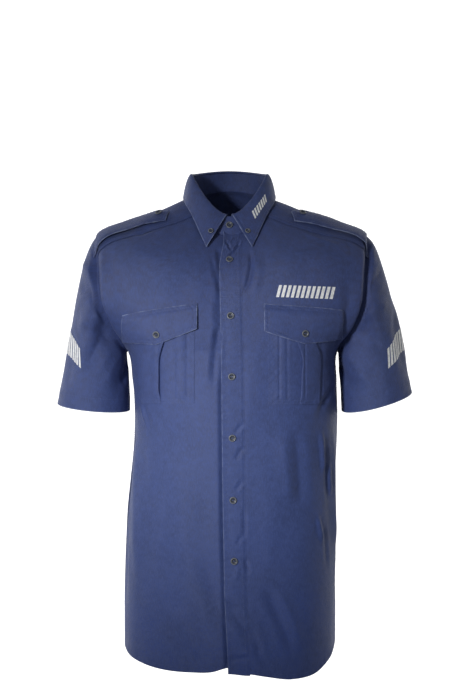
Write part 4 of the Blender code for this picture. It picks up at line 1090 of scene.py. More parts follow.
def cloth_finish():
    """Navy twill: ribs and slubs as bump, uneven dye, painted warm light over the upper shirt, painted cool light
    towards the hem, and pale edges that are partly rubbed wear and partly a painted highlight.
    """
    found = bpy.data.materials.get("navy_twill")
    if found:
        return found
    cloth = bpy.context.scene.shirt_cloth
    made, tree, shader = new_finish("navy_twill")
    flat = node(tree, "ShaderNodeUVMap", uv_map="weave").outputs["UV"]
    place = node(tree, "ShaderNodeTexCoord").outputs["Object"]
    ribs = node(
        tree, "ShaderNodeTexWave",
        {"Vector": flat, "Scale": 2 * np.pi / (10 * cloth.weave_pitch * 1.414), "Distortion": 0.6, "Detail": 1.0},
        wave_type="BANDS", bands_direction="DIAGONAL",
    ).outputs["Fac"]
    slubs = node(
        tree, "ShaderNodeTexNoise",
        {"Vector": node(tree, "ShaderNodeMapping", {"Vector": flat, "Scale": (800, 130, 1)}).outputs[0],
         "Scale": 1.0, "Detail": 3.0, "Roughness": 0.6},
    ).outputs["Fac"]
    grain = node(tree, "ShaderNodeTexNoise", {"Vector": place, "Scale": 420.0, "Detail": 4.0}).outputs["Fac"]
    clouds = node(tree, "ShaderNodeTexNoise", {"Vector": place, "Scale": 17.0, "Detail": 3.0}).outputs["Fac"]
    patches = node(tree, "ShaderNodeTexNoise", {"Vector": place, "Scale": 95.0, "Detail": 3.0}).outputs["Fac"]
    base = (*cloth.cloth_colour, 1.0)
    dark = tuple(0.80 * c for c in cloth.cloth_colour) + (1.0,)
    light = tuple(1.35 * c for c in cloth.cloth_colour) + (1.0,)
    # Painted light: the cloth turns warmer from height -0.46 up to -0.10, standing in for warmer light falling on the
    # upper shirt.
    height = node(tree, "ShaderNodeSeparateXYZ", {"Vector": place}).outputs["Z"]
    painted_warm_light_tint = tuple(c * k for c, k in zip(cloth.cloth_colour, (1.25, 0.92, 0.73))) + (1.0,)
    base = mixed(tree, ranged(tree, height, -0.46, -0.10, 0.0, 1.0), base, painted_warm_light_tint)
    # Painted light: the cloth turns bluer from height -0.48 down to -0.74, standing in for cooler light falling on the
    # lower shirt.
    deep = tuple(c * k for c, k in zip(cloth.cloth_colour, (0.77, 1.00, 1.38))) + (1.0,)
    base = mixed(tree, ranged(tree, height, -0.48, -0.74, 0.0, 1.0), base, deep)
    colour = mixed(tree, ranged(tree, clouds, 0.35, 0.65, 0.0, 0.7), base, dark)
    colour = mixed(tree, ranged(tree, patches, 0.38, 0.66, 0.0, 0.55), colour, light)
    colour = mixed(tree, ranged(tree, slubs, 0.42, 0.70, 0.0, 0.95), colour, light)
    colour = mixed(tree, ranged(tree, grain, 0.35, 0.60, 0.45, 0.0), colour, dark)
    # Pale edges, partly rubbed wear and partly a painted highlight where light catches the cloth's edges: the edge
    # distance, broken up by noise, mixes in the pale colour.
    edge = node(tree, "ShaderNodeAttribute", attribute_name="edge").outputs["Fac"]
    edge_rub_and_highlight = ranged(tree, edge, 0.0002, 0.0019, 1.0, 0.0)
    uneven = ranged(tree, patches, 0.36, 0.60, 0.15, 0.95)
    worn = node(tree, "ShaderNodeMath", {0: edge_rub_and_highlight, 1: uneven}, operation="MULTIPLY").outputs[0]
    colour = mixed(tree, worn, colour, (*cloth.worn_highlit_edge_colour, 1.0))
    tree.links.new(colour, shader.inputs["Base Color"])
    tree.links.new(ranged(tree, grain, 0.3, 0.7, 0.56, 0.72), shader.inputs["Roughness"])
    height = node(tree, "ShaderNodeMath", {0: ribs, 1: slubs}, operation="ADD").outputs[0]
    fine = node(tree, "ShaderNodeBump", {"Strength": 0.45, "Distance": 0.00025, "Height": height}).outputs[0]
    soft = node(tree, "ShaderNodeBump", {"Strength": 0.55, "Distance": 0.0012, "Height": patches, "Normal": fine})
    tree.links.new(soft.outputs[0], shader.inputs["Normal"])
    shader.inputs["Specular IOR Level"].default_value = 0.5
    shader.inputs["Sheen Weight"].default_value = 0.12
    shader.inputs["Sheen Roughness"].default_value = 0.42
    shader.inputs["Sheen Tint"].default_value = (0.62, 0.70, 1.0, 1.0)
    return made


def thread_finish():
    """Sewing thread: twisted strands as bump, paler where it has rubbed."""
    found = bpy.data.materials.get("sewing_thread")
    if found:
        return found
    made, tree, shader = new_finish("sewing_thread")
    colour = tuple(bpy.context.scene.shirt_cloth.thread_colour)
    place = node(tree, "ShaderNodeTexCoord").outputs["Object"]
    uneven = node(tree, "ShaderNodeTexNoise", {"Vector": place, "Scale": 160.0, "Detail": 3.0}).outputs["Fac"]
    strands = node(tree, "ShaderNodeTexNoise", {"Vector": place, "Scale": 3200.0, "Detail": 2.0}).outputs["Fac"]
    rubbed = tuple(1.35 * c for c in colour) + (1.0,)
    blend = mixed(tree, ranged(tree, uneven, 0.40, 0.66, 0.0, 1.0), (*colour, 1.0), rubbed)
    tree.links.new(blend, shader.inputs["Base Color"])
    tree.links.new(ranged(tree, strands, 0.3, 0.7, 0.55, 0.75), shader.inputs["Roughness"])
    bump = node(tree, "ShaderNodeBump", {"Strength": 0.5, "Distance": 0.0001, "Height": strands})
    tree.links.new(bump.outputs[0], shader.inputs["Normal"])
    return made


def strip_finish():
    """Silver-grey reflective transfer: fine glass grain as bump, slightly scuffed."""
    found = bpy.data.materials.get("reflective_transfer")
    if found:
        return found
    made, tree, shader = new_finish("reflective_transfer")
    colour = tuple(bpy.context.scene.shirt_cloth.strip_colour)
    place = node(tree, "ShaderNodeTexCoord").outputs["Object"]
    scuffs = node(tree, "ShaderNodeTexNoise", {"Vector": place, "Scale": 260.0, "Detail": 4.0}).outputs["Fac"]
    beads = node(tree, "ShaderNodeTexVoronoi", {"Vector": place, "Scale": 2600.0}).outputs["Distance"]
    dull = tuple(0.82 * c for c in colour) + (1.0,)
    blend = mixed(tree, ranged(tree, scuffs, 0.36, 0.56, 0.0, 1.0), dull, (*colour, 1.0))
    tree.links.new(blend, shader.inputs["Base Color"])
    tree.links.new(ranged(tree, scuffs, 0.3, 0.7, 0.52, 0.36), shader.inputs["Roughness"])
    bump = node(tree, "ShaderNodeBump", {"Strength": 0.35, "Distance": 0.00012, "Height": beads})
    tree.links.new(bump.outputs[0], shader.inputs["Normal"])
    shader.inputs["Specular IOR Level"].default_value = 0.6
    return made


def button_finish():
    """Dark cast resin with a lighter rim and faint clouding."""
    found = bpy.data.materials.get("button_resin")
    if found:
        return found
    settings = bpy.context.scene.shirt_buttons
    made, tree, shader = new_finish("button_resin")
    place = node(tree, "ShaderNodeTexCoord").outputs["Object"]
    clouds = node(tree, "ShaderNodeTexNoise", {"Vector": place, "Scale": 380.0, "Detail": 3.0}).outputs["Fac"]
    rim = node(tree, "ShaderNodeAttribute", attribute_name="rim").outputs["Fac"]
    body, edge = tuple(settings.colour) + (1.0,), tuple(settings.rim_colour) + (1.0,)
    deep = tuple(0.7 * c for c in settings.colour) + (1.0,)
    colour = mixed(tree, ranged(tree, clouds, 0.4, 0.6, 0.0, 1.0), deep, body)
    # The outer rim is mixed towards the lighter rim colour.
    colour = mixed(tree, ranged(tree, rim, 0.0, 1.0, 0.0, 0.9), colour, edge)
    tree.links.new(colour, shader.inputs["Base Color"])
    tree.links.new(ranged(tree, clouds, 0.3, 0.7, 0.26, 0.42), shader.inputs["Roughness"])
    bump = node(tree, "ShaderNodeBump", {"Strength": 0.2, "Distance": 0.0001, "Height": clouds})
    tree.links.new(bump.outputs[0], shader.inputs["Normal"])
    return made


def degrees_of(length, climb):
    """Turn that spans a length of the surface at a climb near its side."""
    return np.degrees(length / at_climb(climb).left_x)


LEAST_ROW = 0.0012


def body_levels(top_climb, pitch):
    """Shares of the hem rows and climbs of the rows above them, up to top_climb beside the armhole."""
    low = shares(0.13, pitch, start_edge=True)[:-1]
    body = np.linspace(HEM_RUN_OUT, ARMPIT, int(0.39 / pitch), endpoint=False)
    beside = armhole_climb(np.linspace(0, armhole_angle(top_climb), int(0.19 / pitch)))
    kept = [beside[0]]
    for level in beside[1:]:
        if level - kept[-1] >= LEAST_ROW:
            kept.append(level)
    kept[-1] = beside[-1]
    return low, np.concatenate([body, kept])


def neck_levels(pitch):
    return np.linspace(FRONT_YOKE_SEAM, NECKLINE + NECK_TUCK, int(0.12 / pitch))[1:]


def hem_layers(points):
    """Layers of cloth by the height above the hem: its turned-up edge is thicker."""
    return 1 + 1.3 * (1 - ease(lengths_along(points), HEM_WIDTH - 0.0006, HEM_WIDTH + 0.0006))


# The hem hangs lower at the placket's free edge, and the right front dips away under that edge.
HEM_HANG = 0.0090
HEM_HANG_REACH = 0.0550
FREE_EDGE_DROP = 0.0042


def hung_low(climb, low, offset):
    """Climbs with the hem rows hung lower, by their distance from the placket's free edge."""
    drop = HEM_HANG * (1 - ease(offset, 0.0, HEM_HANG_REACH)) * (1 - low)[:, None]
    return np.concatenate([climb[: len(low)] - drop, climb[len(low) :]])


def front_panel(side):
    """(points, normals) of a front, from under the placket to the side seam, armhole and front yoke seam."""
    pitch = bpy.context.scene.shirt_cloth.mesh_spacing
    low, climbs = body_levels(FRONT_YOKE_SEAM, pitch)
    climbs = np.concatenate([climbs, neck_levels(pitch)])
    level = np.concatenate([HEM_RUN_OUT + 0 * low, climbs])
    corner = 90 - armhole_spread(FRONT_YOKE_SEAM)
    along_seam = np.clip((level - FRONT_YOKE_SEAM) / (NECKLINE - FRONT_YOKE_SEAM), 0, 1)
    yoke_seam = corner + (FRONT_YOKE_NECK_TURN - corner) * along_seam
    beside_arm = ease(level, ARMPIT - 0.004, ARMPIT) * (1 - ease(level, FRONT_YOKE_SEAM, FRONT_YOKE_SEAM + 0.004))
    outer = np.where(level <= FRONT_YOKE_SEAM, 90 - armhole_spread(level), yoke_seam)
    outer = outer + degrees_of(TUCK, level) * (1 - beside_arm)
    inner = side * turn_of(PLACKET_SEWN - 0.004 if side > 0 else 0.004, level)
    share = shares(0.26, pitch, start_edge=True)
    turn = side * (inner[:, None] + (outer - inner)[:, None] * share)
    climb = row_climbs(low, climbs, turn)
    if side > 0:
        climb = hung_low(climb, low, smooth_torso(turn[0], climb[0])[:, 0] + PLACKET_FREE)
    points, normal = on_torso(turn, climb)
    from_outer = edge_distances(points, ["far"])
    offset = points[..., 0] - at_climb(climb).centre_x
    drop = TUCK_DROP * (1 - ease(from_outer, TUCK, TUCK + 0.006)) * (1 - beside_arm[:, None])
    fell = FELL_RISE * (1 - ease(from_outer, FELL, FELL + 0.002)) * beside_arm[:, None]
    if side > 0:
        under = 0.0003 * (1 - ease(offset, PLACKET_SEWN - 0.001, PLACKET_SEWN + 0.006))
    else:
        under = 0.0010 * (1 - ease(-offset, PLACKET_FREE + 0.002, PLACKET_FREE + UNDERLAP_FADE))
        below_neck = 1 - ease(climb, NECKLINE - 0.060, NECKLINE - 0.030)
        under = under + FREE_EDGE_DROP * below_neck * (1 - ease(-offset, PLACKET_FREE - 0.001, PLACKET_FREE + 0.008))
    hem = pucker(points[..., 0], lengths_along(points) - HEM_WIDTH)
    seam = pucker(climb, from_outer - FELL) * beside_arm[:, None]
    return points + normal * (fell - drop - under + hem + seam)[..., None], normal


def placket_panel():
    """(points, normals) of the front strip, its free edge first."""
    pitch = bpy.context.scene.shirt_cloth.mesh_spacing * 0.8
    low, climbs = body_levels(FRONT_YOKE_SEAM, pitch)
    climbs = np.concatenate([climbs, np.linspace(FRONT_YOKE_SEAM, NECKLINE + NECK_TUCK, int(0.12 / pitch))[1:]])
    level = np.concatenate([HEM_RUN_OUT + 0 * low, climbs])
    height = at_climb(level).front_z
    curl = PLACKET_CURL * ease(height, PLACKET_CURL_END, PLACKET_CURL_TOP)
    free = turn_of(-PLACKET_FREE, level) + np.degrees(curl / 0.09)
    sewn = turn_of(PLACKET_SEWN, level)
    share = shares(PLACKET_FREE + PLACKET_SEWN, 0.0015, start_edge=True, end_edge=True)
    turn = free[:, None] + (sewn - free)[:, None] * share
    across = share * (PLACKET_FREE + PLACKET_SEWN)
    climb = hung_low(row_climbs(low, climbs, turn), low, across)
    points, normal = on_torso(turn, climb)
    from_seams = np.minimum(np.abs(across - FAR_STITCH), np.abs(across[-1] - FAR_STITCH - across))
    puff = 0.00035 * np.clip(from_seams / 0.008, 0, 1)
    lift = PLACKET_LIFT + puff + pucker(climb + 0.03, from_seams[None, :] + 0 * climb, height=0.00022)
    lift = lift - 0.0010 * ease(across, across[-1] - 0.0045, across[-1] - 0.0010)
    rolled = 0.0030 * ease(height, PLACKET_CURL_END, PLACKET_CURL_TOP)[:, None] * (1 - ease(across, 0.0, 0.016))
    return points + normal * (lift + rolled)[..., None], normal


def back_panel():
    pitch = bpy.context.scene.shirt_cloth.mesh_spacing * 1.2
    low, climbs = body_levels(BACK_YOKE_SEAM, pitch)
    climbs = np.concatenate([climbs, BACK_YOKE_SEAM + np.array([0.0015, TUCK + 0.001])])
    level = np.concatenate([HEM_RUN_OUT + 0 * low, climbs])
    beside_arm = ease(level, ARMPIT - 0.004, ARMPIT)
    edge = 90 + armhole_spread(level) - degrees_of(0.0012, level) * (1 - beside_arm)
    share = shares(0.50, pitch, start_edge=True, end_edge=True)
    turn = edge[:, None] + (360 - 2 * edge)[:, None] * share
    climb = row_climbs(low, climbs, np.where(turn > 180, turn - 360, turn))
    points, normal = on_torso(turn, climb)
    from_sides = edge_distances(points, ["near", "far"])
    fell = 1 - ease(from_sides, FELL, FELL + 0.002)
    lap = LAP_RISE * (1 - beside_arm)[:, None] * fell
    under = TUCK_DROP * ease(climb, BACK_YOKE_SEAM - 0.005, BACK_YOKE_SEAM)
    hem = pucker(flat_of(turn), lengths_along(points) - HEM_WIDTH)
    seam = pucker(climb, from_sides - FELL)
    return points + normal * (FELL_RISE * fell + lap - under + hem + seam)[..., None], normal


def yoke_panel():
    """(points, normals), ruled from its outer seams up to the neckline; columns run from front to front."""
    pitch = bpy.context.scene.shirt_cloth.mesh_spacing
    front, back = armhole_angle(FRONT_YOKE_SEAM), armhole_angle(BACK_YOKE_SEAM)
    over_front = np.linspace(front, 180, int(0.06 / pitch))
    over_back = np.linspace(180, back, int(0.06 / pitch))[1:]
    front_turn = 90 - armhole_spread(armhole_climb(over_front))
    back_turn = 90 + armhole_spread(armhole_climb(over_back))
    along_back = np.linspace(back_turn[-1], 180, int(0.20 / pitch))[1:]
    outer_turn = np.concatenate([front_turn, back_turn, along_back])
    seam_climb = BACK_YOKE_SEAM - 0.0008
    outer_climb = np.concatenate([armhole_climb(over_front), armhole_climb(over_back), 0 * along_back + seam_climb])
    outer_climb[len(over_front) + len(over_back) - 1] = seam_climb
    knots = [outer_turn[0], 90, back_turn[-1], 180]
    inner_turn = np.interp(outer_turn, knots, [FRONT_YOKE_NECK_TURN, 90, 116, 180])
    outer_turn[0] -= degrees_of(0.0008, FRONT_YOKE_SEAM)
    inner_turn[0] -= degrees_of(0.0008, NECKLINE)
    outer_turn = np.concatenate([outer_turn, 360 - outer_turn[-2::-1]])
    outer_climb = np.concatenate([outer_climb, outer_climb[-2::-1]])
    inner_turn = np.concatenate([inner_turn, 360 - inner_turn[-2::-1]])
    share = shares(0.15, pitch, start_edge=True)[:, None]
    turn = outer_turn + (inner_turn - outer_turn) * share
    climb = outer_climb + (NECKLINE + NECK_TUCK - outer_climb) * share
    points, normal = on_torso(turn, climb)
    from_edge = edge_distances(points, ["low", "near", "far"])
    lift = LAP_RISE + FELL_RISE * (1 - ease(from_edge, FELL, FELL + 0.002))
    lift = lift + pucker(flat_of(turn) + climb, from_edge - FELL)
    return points + normal * lift[..., None], normal


def sleeve_panel(name):
    """(points, normals) of a sleeve, closed round the arm, from under the armhole seam to its hem."""
    side = CUFFS[name].side
    pitch = bpy.context.scene.shirt_cloth.mesh_spacing
    phi = np.linspace(-90, 270, int(SLEEVE_ROUND / pitch), endpoint=False)
    reach = shares(SLEEVE_LONG, pitch, end_edge=True)
    points, normal = on_sleeve(name, phi[None, :], reach[:, None])
    ring_turn, ring_climb = armhole_place(side, phi)
    smooth_ring = smooth_sleeve(CUFFS[name], phi, 0 * phi)
    creased_ring, _ = on_torso(ring_turn, ring_climb)
    points = points + (creased_ring - smooth_ring) * (1 - ease(reach, 0.0, 0.11))[:, None, None]
    tucked = [on_torso(*armhole_place(side, phi, grow), -TUCK_DROP)[0] for grow in (0.005, 0.002)]
    points = np.concatenate([np.stack(tucked), points])
    first = on_torso(ring_turn, ring_climb)[1]
    normal = np.concatenate([np.stack([first, first]), normal])
    from_hem = edge_distances(points, ["high"])
    around = np.broadcast_to(phi * SLEEVE_ROUND / 360, from_hem.shape)
    lift = pucker(around, from_hem - SLEEVE_HEM, height=0.00022) + pucker(around + 0.1, from_hem, height=0.0003)
    under_seam = 0.0004 * np.exp(-((np.minimum(phi + 90, 270 - phi) * SLEEVE_ROUND / 360 / 0.004) ** 2))
    return points + normal * (lift + under_seam)[..., None], normal


# Straight folds pressed into the pockets, as seen from straight ahead.
Press = namedtuple("Press", "top_x bottom_x width depth")
POCKET_PRESSES = {
    "right": (
        Press(-0.1155, -0.1150, 0.0013, -0.0011),
        Press(-0.1215, -0.1210, 0.0030, 0.0007),
        Press(-0.0905, -0.0900, 0.0016, -0.0008),
        Press(-0.0715, -0.0705, 0.0018, -0.0009),
        Press(-0.0810, -0.0800, 0.0060, 0.0010),
    ),
    "left": (
        Press(0.0760, 0.0765, 0.0014, -0.0011),
        Press(0.0880, 0.0890, 0.0022, -0.0008),
        Press(0.1160, 0.1160, 0.0013, -0.0012),
        Press(0.1450, 0.1440, 0.0030, -0.0009),
    ),
}
PLEAT_MIDDLE = {"right": 0.565, "left": 0.515}


def pressed(name, x, down):
    """Height of a pocket's pressed folds: a bell across each, fading out at the pocket's bottom."""
    total = 0 * x
    for row in POCKET_PRESSES[name]:
        middle = row.top_x + (row.bottom_x - row.top_x) * down
        total = total + row.depth * np.exp(-(((x - middle) / row.width) ** 2))
    return total * (1 - ease(down, 0.88, 0.97))


def pocket_grids(name):
    """Inner and outer grids of a patch pocket whose box pleat is folded under along both its sides.

    Across the pocket the cloth follows a profile of (x, height): level, under the band, back out to the fold
    and over the band. The two faces lie half the cloth's thickness to each side of that profile.
    """
    patch = POCKETS[name]
    cloth = bpy.context.scene.shirt_cloth.thickness * 0.9
    width = (patch.outer_top_x + patch.outer_bottom_x) / 2 - patch.inner_x
    depth = patch.top_z - patch.bottom_z
    middle, half, under = PLEAT_MIDDLE[name] * width, PLEAT_HALF - 0.0012, 0.0045
    first = shares(middle - half + under, 0.0012, start_edge=True) * (middle - half + under)
    last = width - shares(width - middle - half + under, 0.0012, start_edge=True)[::-1] * (
        width - middle - half + under
    )
    left, right = middle - half, middle + half
    fold_in = [(left + under + 0.0003, 0.0003), (left + under, 0.0007), (left + 0.0006, 0.0008)]
    fold_out = [(left, 0.0009), (left - 0.0003, 0.0013), (left, 0.0017)]
    band = [(x, 0.0019) for x in np.linspace(left + 0.0012, right - 0.0012, 25)]
    mirrored = [(left + right - x, height) for x, height in (fold_in + fold_out)[::-1]]
    profile = np.array([(x, 0.0) for x in first] + fold_in + fold_out + band + mirrored + [(x, 0.0) for x in last])
    tangent = np.gradient(profile, axis=0)
    tangent /= np.linalg.norm(tangent, axis=1, keepdims=True)
    side_step = np.stack([-tangent[:, 1], tangent[:, 0]], axis=1) * cloth / 2
    down = shares(depth, 0.0019, end_edge=True)[:, None]
    grids = []
    for face in (-1, 1):
        spot = profile + face * side_step
        x, height = spot[:, 0], spot[:, 1]
        from_edge = np.minimum(np.minimum(x, width - x), (1 - down) * depth)
        puff = 0.0013 * ease(from_edge, 0.005, 0.024)
        along = x + down * depth
        lift = 0.0008 + puff + height + pucker(along, from_edge - FAR_STITCH)
        foot = 1 - ease((1 - down) * depth, 0.004, 0.016)
        lift = lift - height * 0.35 * foot
        lift = lift - 0.0009 * (1 - ease(down * depth, 0.0, 0.006))
        gape = POCKET_GAPES[name]
        tip = np.clip(gape.side * (x - middle) / half, -1, 1)
        raised = (height > 0.0008) & (tip > 0)
        level = ease(down, 0.05, 0.30) * (1 - ease(down, 0.80, 0.97))
        lift = lift + np.where(raised, gape.height * tip**2, 0) * level
        turn, climb = pocket_place(patch, x / width, down)
        lift = lift + pressed(name, smooth_torso(turn, climb)[..., 0], down)
        grids.append(on_torso(turn, climb, lift))
    inner, outer = grids[0][0], grids[1][0]
    return inner, outer, grids[1][1]


Gape = namedtuple("Gape", "side height")
POCKET_GAPES = {"right": Gape(-1, 0.0034), "left": Gape(-1, 0.0012)}


def flap_panel(name):
    """(points, normals) of a pocket flap, its sewn edge first."""
    flap = FLAPS[name]
    across = np.concatenate(
        [
            shares(0.065, 0.0013, start_edge=True) * flap.point_share,
            flap.point_share + (1 - flap.point_share) * shares(0.055, 0.0013, end_edge=True)[1:],
        ]
    )
    down = shares(0.050, 0.0013, start_edge=True, end_edge=True)
    turn, climb, lift = flap_place(flap, across[None, :], down[:, None])
    points, normal = on_torso(turn, climb, lift - 0.0008)
    from_edge = edge_distances(points, ["low", "high", "near", "far"])
    wave = 0.0009 * np.sin(across * 9.0 + (1.0 if flap.side > 0 else 2.6))[None, :] * down[:, None] ** 2
    puff = 0.0004 * ease(from_edge, 0.0, 0.004) - 0.0004 * np.exp(-(((from_edge - FAR_STITCH) / 0.0016) ** 2))
    along = flat_of(turn) + climb
    return points + normal * (wave + puff + pucker(along, from_edge - 0.003))[..., None], normal


STRAP_SEAT = 0.0012
STRAP_BOW = 0.0027
STRAP_OVERHANG = 0.16


def strap_rise(along, across):
    """Height by which a strap stands off its solid's form: an arch along it and a low one across it."""
    return STRAP_SEAT + STRAP_BOW * (0.4 + 0.6 * np.sin(np.pi * along)) * (1 - 0.4 * across**2)


def strap_panel(side):
    """(points, normals) of a shoulder strap; its rows run from the armhole to its pointed end."""
    across = 2 * shares(0.045, 0.0013, start_edge=True, end_edge=True) - 1
    along = shares(0.15, 0.0014, start_edge=True, end_edge=True)
    rise = strap_rise(along[:, None], across[None, :])
    across = across + STRAP_OVERHANG * np.clip(across, 0, 1)
    turn, climb, lift = strap_place(side, along[:, None], across[None, :])
    points, normal = on_torso(turn, climb, lift + rise)
    from_edge = edge_distances(points, ["low", "high", "near", "far"])
    puff = 0.0004 * ease(from_edge, 0.0, 0.004) - 0.0004 * np.exp(-(((from_edge - 0.0055) / 0.0016) ** 2))
    return points + normal * (puff + pucker(climb * 1.3, from_edge - 0.003, height=0.00017))[..., None], normal


def stand_panel():
    """(points, normals) of the collar stand, from its under end round the back to its over end."""
    turn = np.linspace(STAND_UNDER_TURN, -360 - STAND_OVER_TURN, 230)
    under = 1 - ease(STAND_UNDER_TURN - turn, 28, 28 + STAND_BLEND_TURN)
    over = 1 - ease(turn + 360 + STAND_OVER_TURN, 32, 32 + STAND_BLEND_TURN)
    lift = (over - under) * LAYER / 2
    share = -0.05 + 1.05 * shares(0.036, 0.0017, start_edge=True, end_edge=True)
    return on_stand(turn[None, :], share[:, None], lift[None, :])


def leaf_panel():
    """(points, normals) of the collar leaf: columns from its left front edge round the back to the right."""
    start = LEAF_TURNS[0] + np.array([0, 0.15, 0.5])
    half = np.concatenate([start, np.linspace(LEAF_TURNS[0] + 1.0, 70, 66), np.linspace(70, 180, 62)[1:]])
    turn = np.concatenate([half, -half[-2::-1]])
    share = shares(0.066, 0.0017, end_edge=True)
    points, normal = on_leaf(turn[None, :], share[:, None])
    from_edge = edge_distances(points, ["high", "near", "far"])
    dip = -0.0004 * np.exp(-(((from_edge - FAR_STITCH) / 0.0016) ** 2))
    along = np.broadcast_to(np.radians(turn)[None, :] * 0.09, from_edge.shape)
    return points + normal * (dip + pucker(along, from_edge - 0.003, height=0.0002))[..., None], normal


def button_mesh(name, centre, up, way, radius):
    """Four-hole button: a profile of (radius, height) turned about up, with four pits sunk in its dish."""
    rings = np.array(
        [
            (0.10, 0.52), (0.16, 0.52), (0.21, 0.52), (0.26, 0.52), (0.31, 0.52), (0.36, 0.52), (0.42, 0.53),
            (0.50, 0.56), (0.58, 0.68), (0.66, 0.86), (0.75, 0.97), (0.84, 1.00), (0.92, 0.95), (0.98, 0.80),
            (1.00, 0.55), (0.98, 0.28), (0.90, 0.06), (0.78, 0.0),
        ]
    )
    sides = bpy.context.scene.shirt_buttons.sides
    angle = np.linspace(0, 2 * np.pi, sides, endpoint=False)
    across, along = rings[:, :1] * np.cos(angle), rings[:, :1] * np.sin(angle)
    height = np.broadcast_to(rings[:, 1:], across.shape)
    to_hole = np.hypot(np.abs(across) - 0.19, np.abs(along) - 0.19)
    top = np.arange(len(rings))[:, None] < 12
    height = height - np.where(top, 0.38 * (1 - ease(to_hole, 0.055, 0.115)), 0)
    up, way = np.asarray(up, float), np.asarray(way, float)
    side = np.cross(way, up)
    flat = np.stack([across, along], axis=-1).reshape(-1, 2)
    lift = height.reshape(-1, 1) * BUTTON_THICK
    points = centre + radius * (flat[:, :1] * side + flat[:, 1:] * way) + lift * up
    rim = np.interp(np.hypot(*flat.T), [0.62, 0.80, 0.97, 1.0], [0, 1, 1, 0.5])
    caps = np.stack([centre + up * 0.52 * BUTTON_THICK, centre])
    points, rim = np.concatenate([points, caps]), np.concatenate([rim, [0, 0]])
    index = np.arange(len(rings) * sides).reshape(-1, sides)
    after = np.roll(index, -1, axis=1)
    quads = np.stack([index[:-1], index[1:], after[1:], after[:-1]], axis=-1).reshape(-1, 4)
    top_cap = np.stack([0 * index[0] + len(points) - 2, index[0], after[0]], axis=-1)
    low_cap = np.stack([0 * index[-1] + len(points) - 1, after[-1], index[-1]], axis=-1)
    mesh = mesh_from(name, points, [quads, np.concatenate([top_cap, low_cap])])
    mesh.attributes.new("rim", "FLOAT", "POINT").data.foreach_set("value", rim.astype(np.float32))
    mesh.shade_smooth()
    return mesh


def bar_grids(places, low, high, slant, on_surface, count, rows=9):
    """Inner and outer grids of slanted bars; places are the bars' starts, in the surface's own parameters."""
    up = np.linspace(0, 1, rows)[None, :, None]
    across = np.linspace(0, 1, 3)[None, None, :]
    starts = places[:, None, None]
    u = starts + across * count + up * slant
    v = low + (high - low) * up + 0 * u
    middle, normal = on_surface(u, v)
    rise = normal * BAR_RISE / 2
    return middle - rise, middle + rise


def bars_mesh(name, inner, outer):
    """One mesh of flat bars, each a closed shell of its own."""
    bars, rows, columns = inner.shape[:3]
    quads, index = sheet_faces(rows, columns, False)
    loop = np.concatenate([index[0], index[1:, -1], index[-1, -2::-1], index[-2::-1, 0]])
    far = rows * columns
    rims = np.stack([far + loop[1:], far + loop[:-1], loop[:-1], loop[1:]], axis=-1)
    faces = np.concatenate([quads + far, quads[:, ::-1], rims])
    if outward_sign(inner[0], outer[0]) < 0:
        faces = faces[:, ::-1]
    points = np.stack([inner.reshape(bars, -1, 3), outer.reshape(bars, -1, 3)], axis=1).reshape(-1, 3)
    first = (np.arange(bars) * 2 * far)[:, None, None]
    mesh = mesh_from(name, points, [(first + faces).reshape(-1, 4)])
    mesh.shade_smooth()
    mesh.set_sharp_from_angle(angle=0.9)
    return mesh


def button_spots():
    """(node, centre, outward normal, up along the cloth, radius, buttonhole way) of every button."""
    found = []
    up = np.array([0.0, 0.0, 1.0])

    def add(node_name, frame_at, u, v, lift, radius, hole):
        point, normal = frame_at(np.array([float(u)]), np.array([float(v)]), np.array([float(lift)]))
        way = up - normal[0] * (normal[0] @ up)
        way = way / np.linalg.norm(way)
        hole_way = way if hole == "upright" else np.cross(way, normal[0])
        found.append((node_name, point[0], normal[0], way, radius, hole_way))

    for number, height in enumerate(FRONT_BUTTON_HEIGHTS, 1):
        _, climb = place_at(0.0, height)
        add(f"button_front_{number}", on_torso, turn_of(0.0, climb), climb, 0.0016, BUTTON_RADIUS, "upright")
    add("button_stand", on_stand, 0.0, STAND_BUTTON_SHARE, LAYER / 2 + 0.0008, BUTTON_RADIUS, "level")
    for name, side in (("left", 1), ("right", -1)):
        flap = FLAPS[name]
        turn, climb, lift = flap_place(flap, flap.point_share, FLAP_BUTTON_SHARE)
        add("button_flap_" + name, on_torso, turn, climb, lift + 0.0004, BUTTON_RADIUS, "upright")
        turn, climb, lift = strap_place(side, STRAP_BUTTON_SHARE, 0.0)
        rise = strap_rise(STRAP_BUTTON_SHARE, 0.0) + 0.0013
        add("button_epaulette_" + name, on_torso, turn, climb, lift + rise, BUTTON_RADIUS, "level")
        add("button_collar_" + name, on_leaf, side * 9.0, 0.86, 0.0009, COLLAR_BUTTON_RADIUS, "level")
    return found


class SHIRT_OT_fronts(bpy.types.Operator):
    """Both fronts, the strip down the middle and their stitches"""

    bl_idname = "shirt.fronts"
    bl_label = "Fronts and placket"

    def execute(self, context):
        lines = []
        for name, side in (("left", 1), ("right", -1)):
            points, normal = front_panel(side)
            made, panel = cloth_between(
                "shirt_front_" + name, points, normal, hem_layers(points), ["low", "near"], edge_wear_and_highlight=0.5,
                nodes=["front_" + name],
            )
            lines.append(inset(panel, "low", HEM_WIDTH, end_trim=0.004))
        points, normal = placket_panel()
        made, panel = cloth_between(
            "shirt_placket", points, normal, 2.1, ["low", "near"], edge_wear_and_highlight=0.7, nodes=["placket"]
        )
        lines += [inset(panel, "near", FAR_STITCH, 0.001, 0.010), inset(panel, "far", FAR_STITCH, 0.001, 0.010)]
        lines.append(inset(panel, "low", HEM_WIDTH, 0.001, 0.001))
        sew("stitches_fronts", lines)
        return {"FINISHED"}


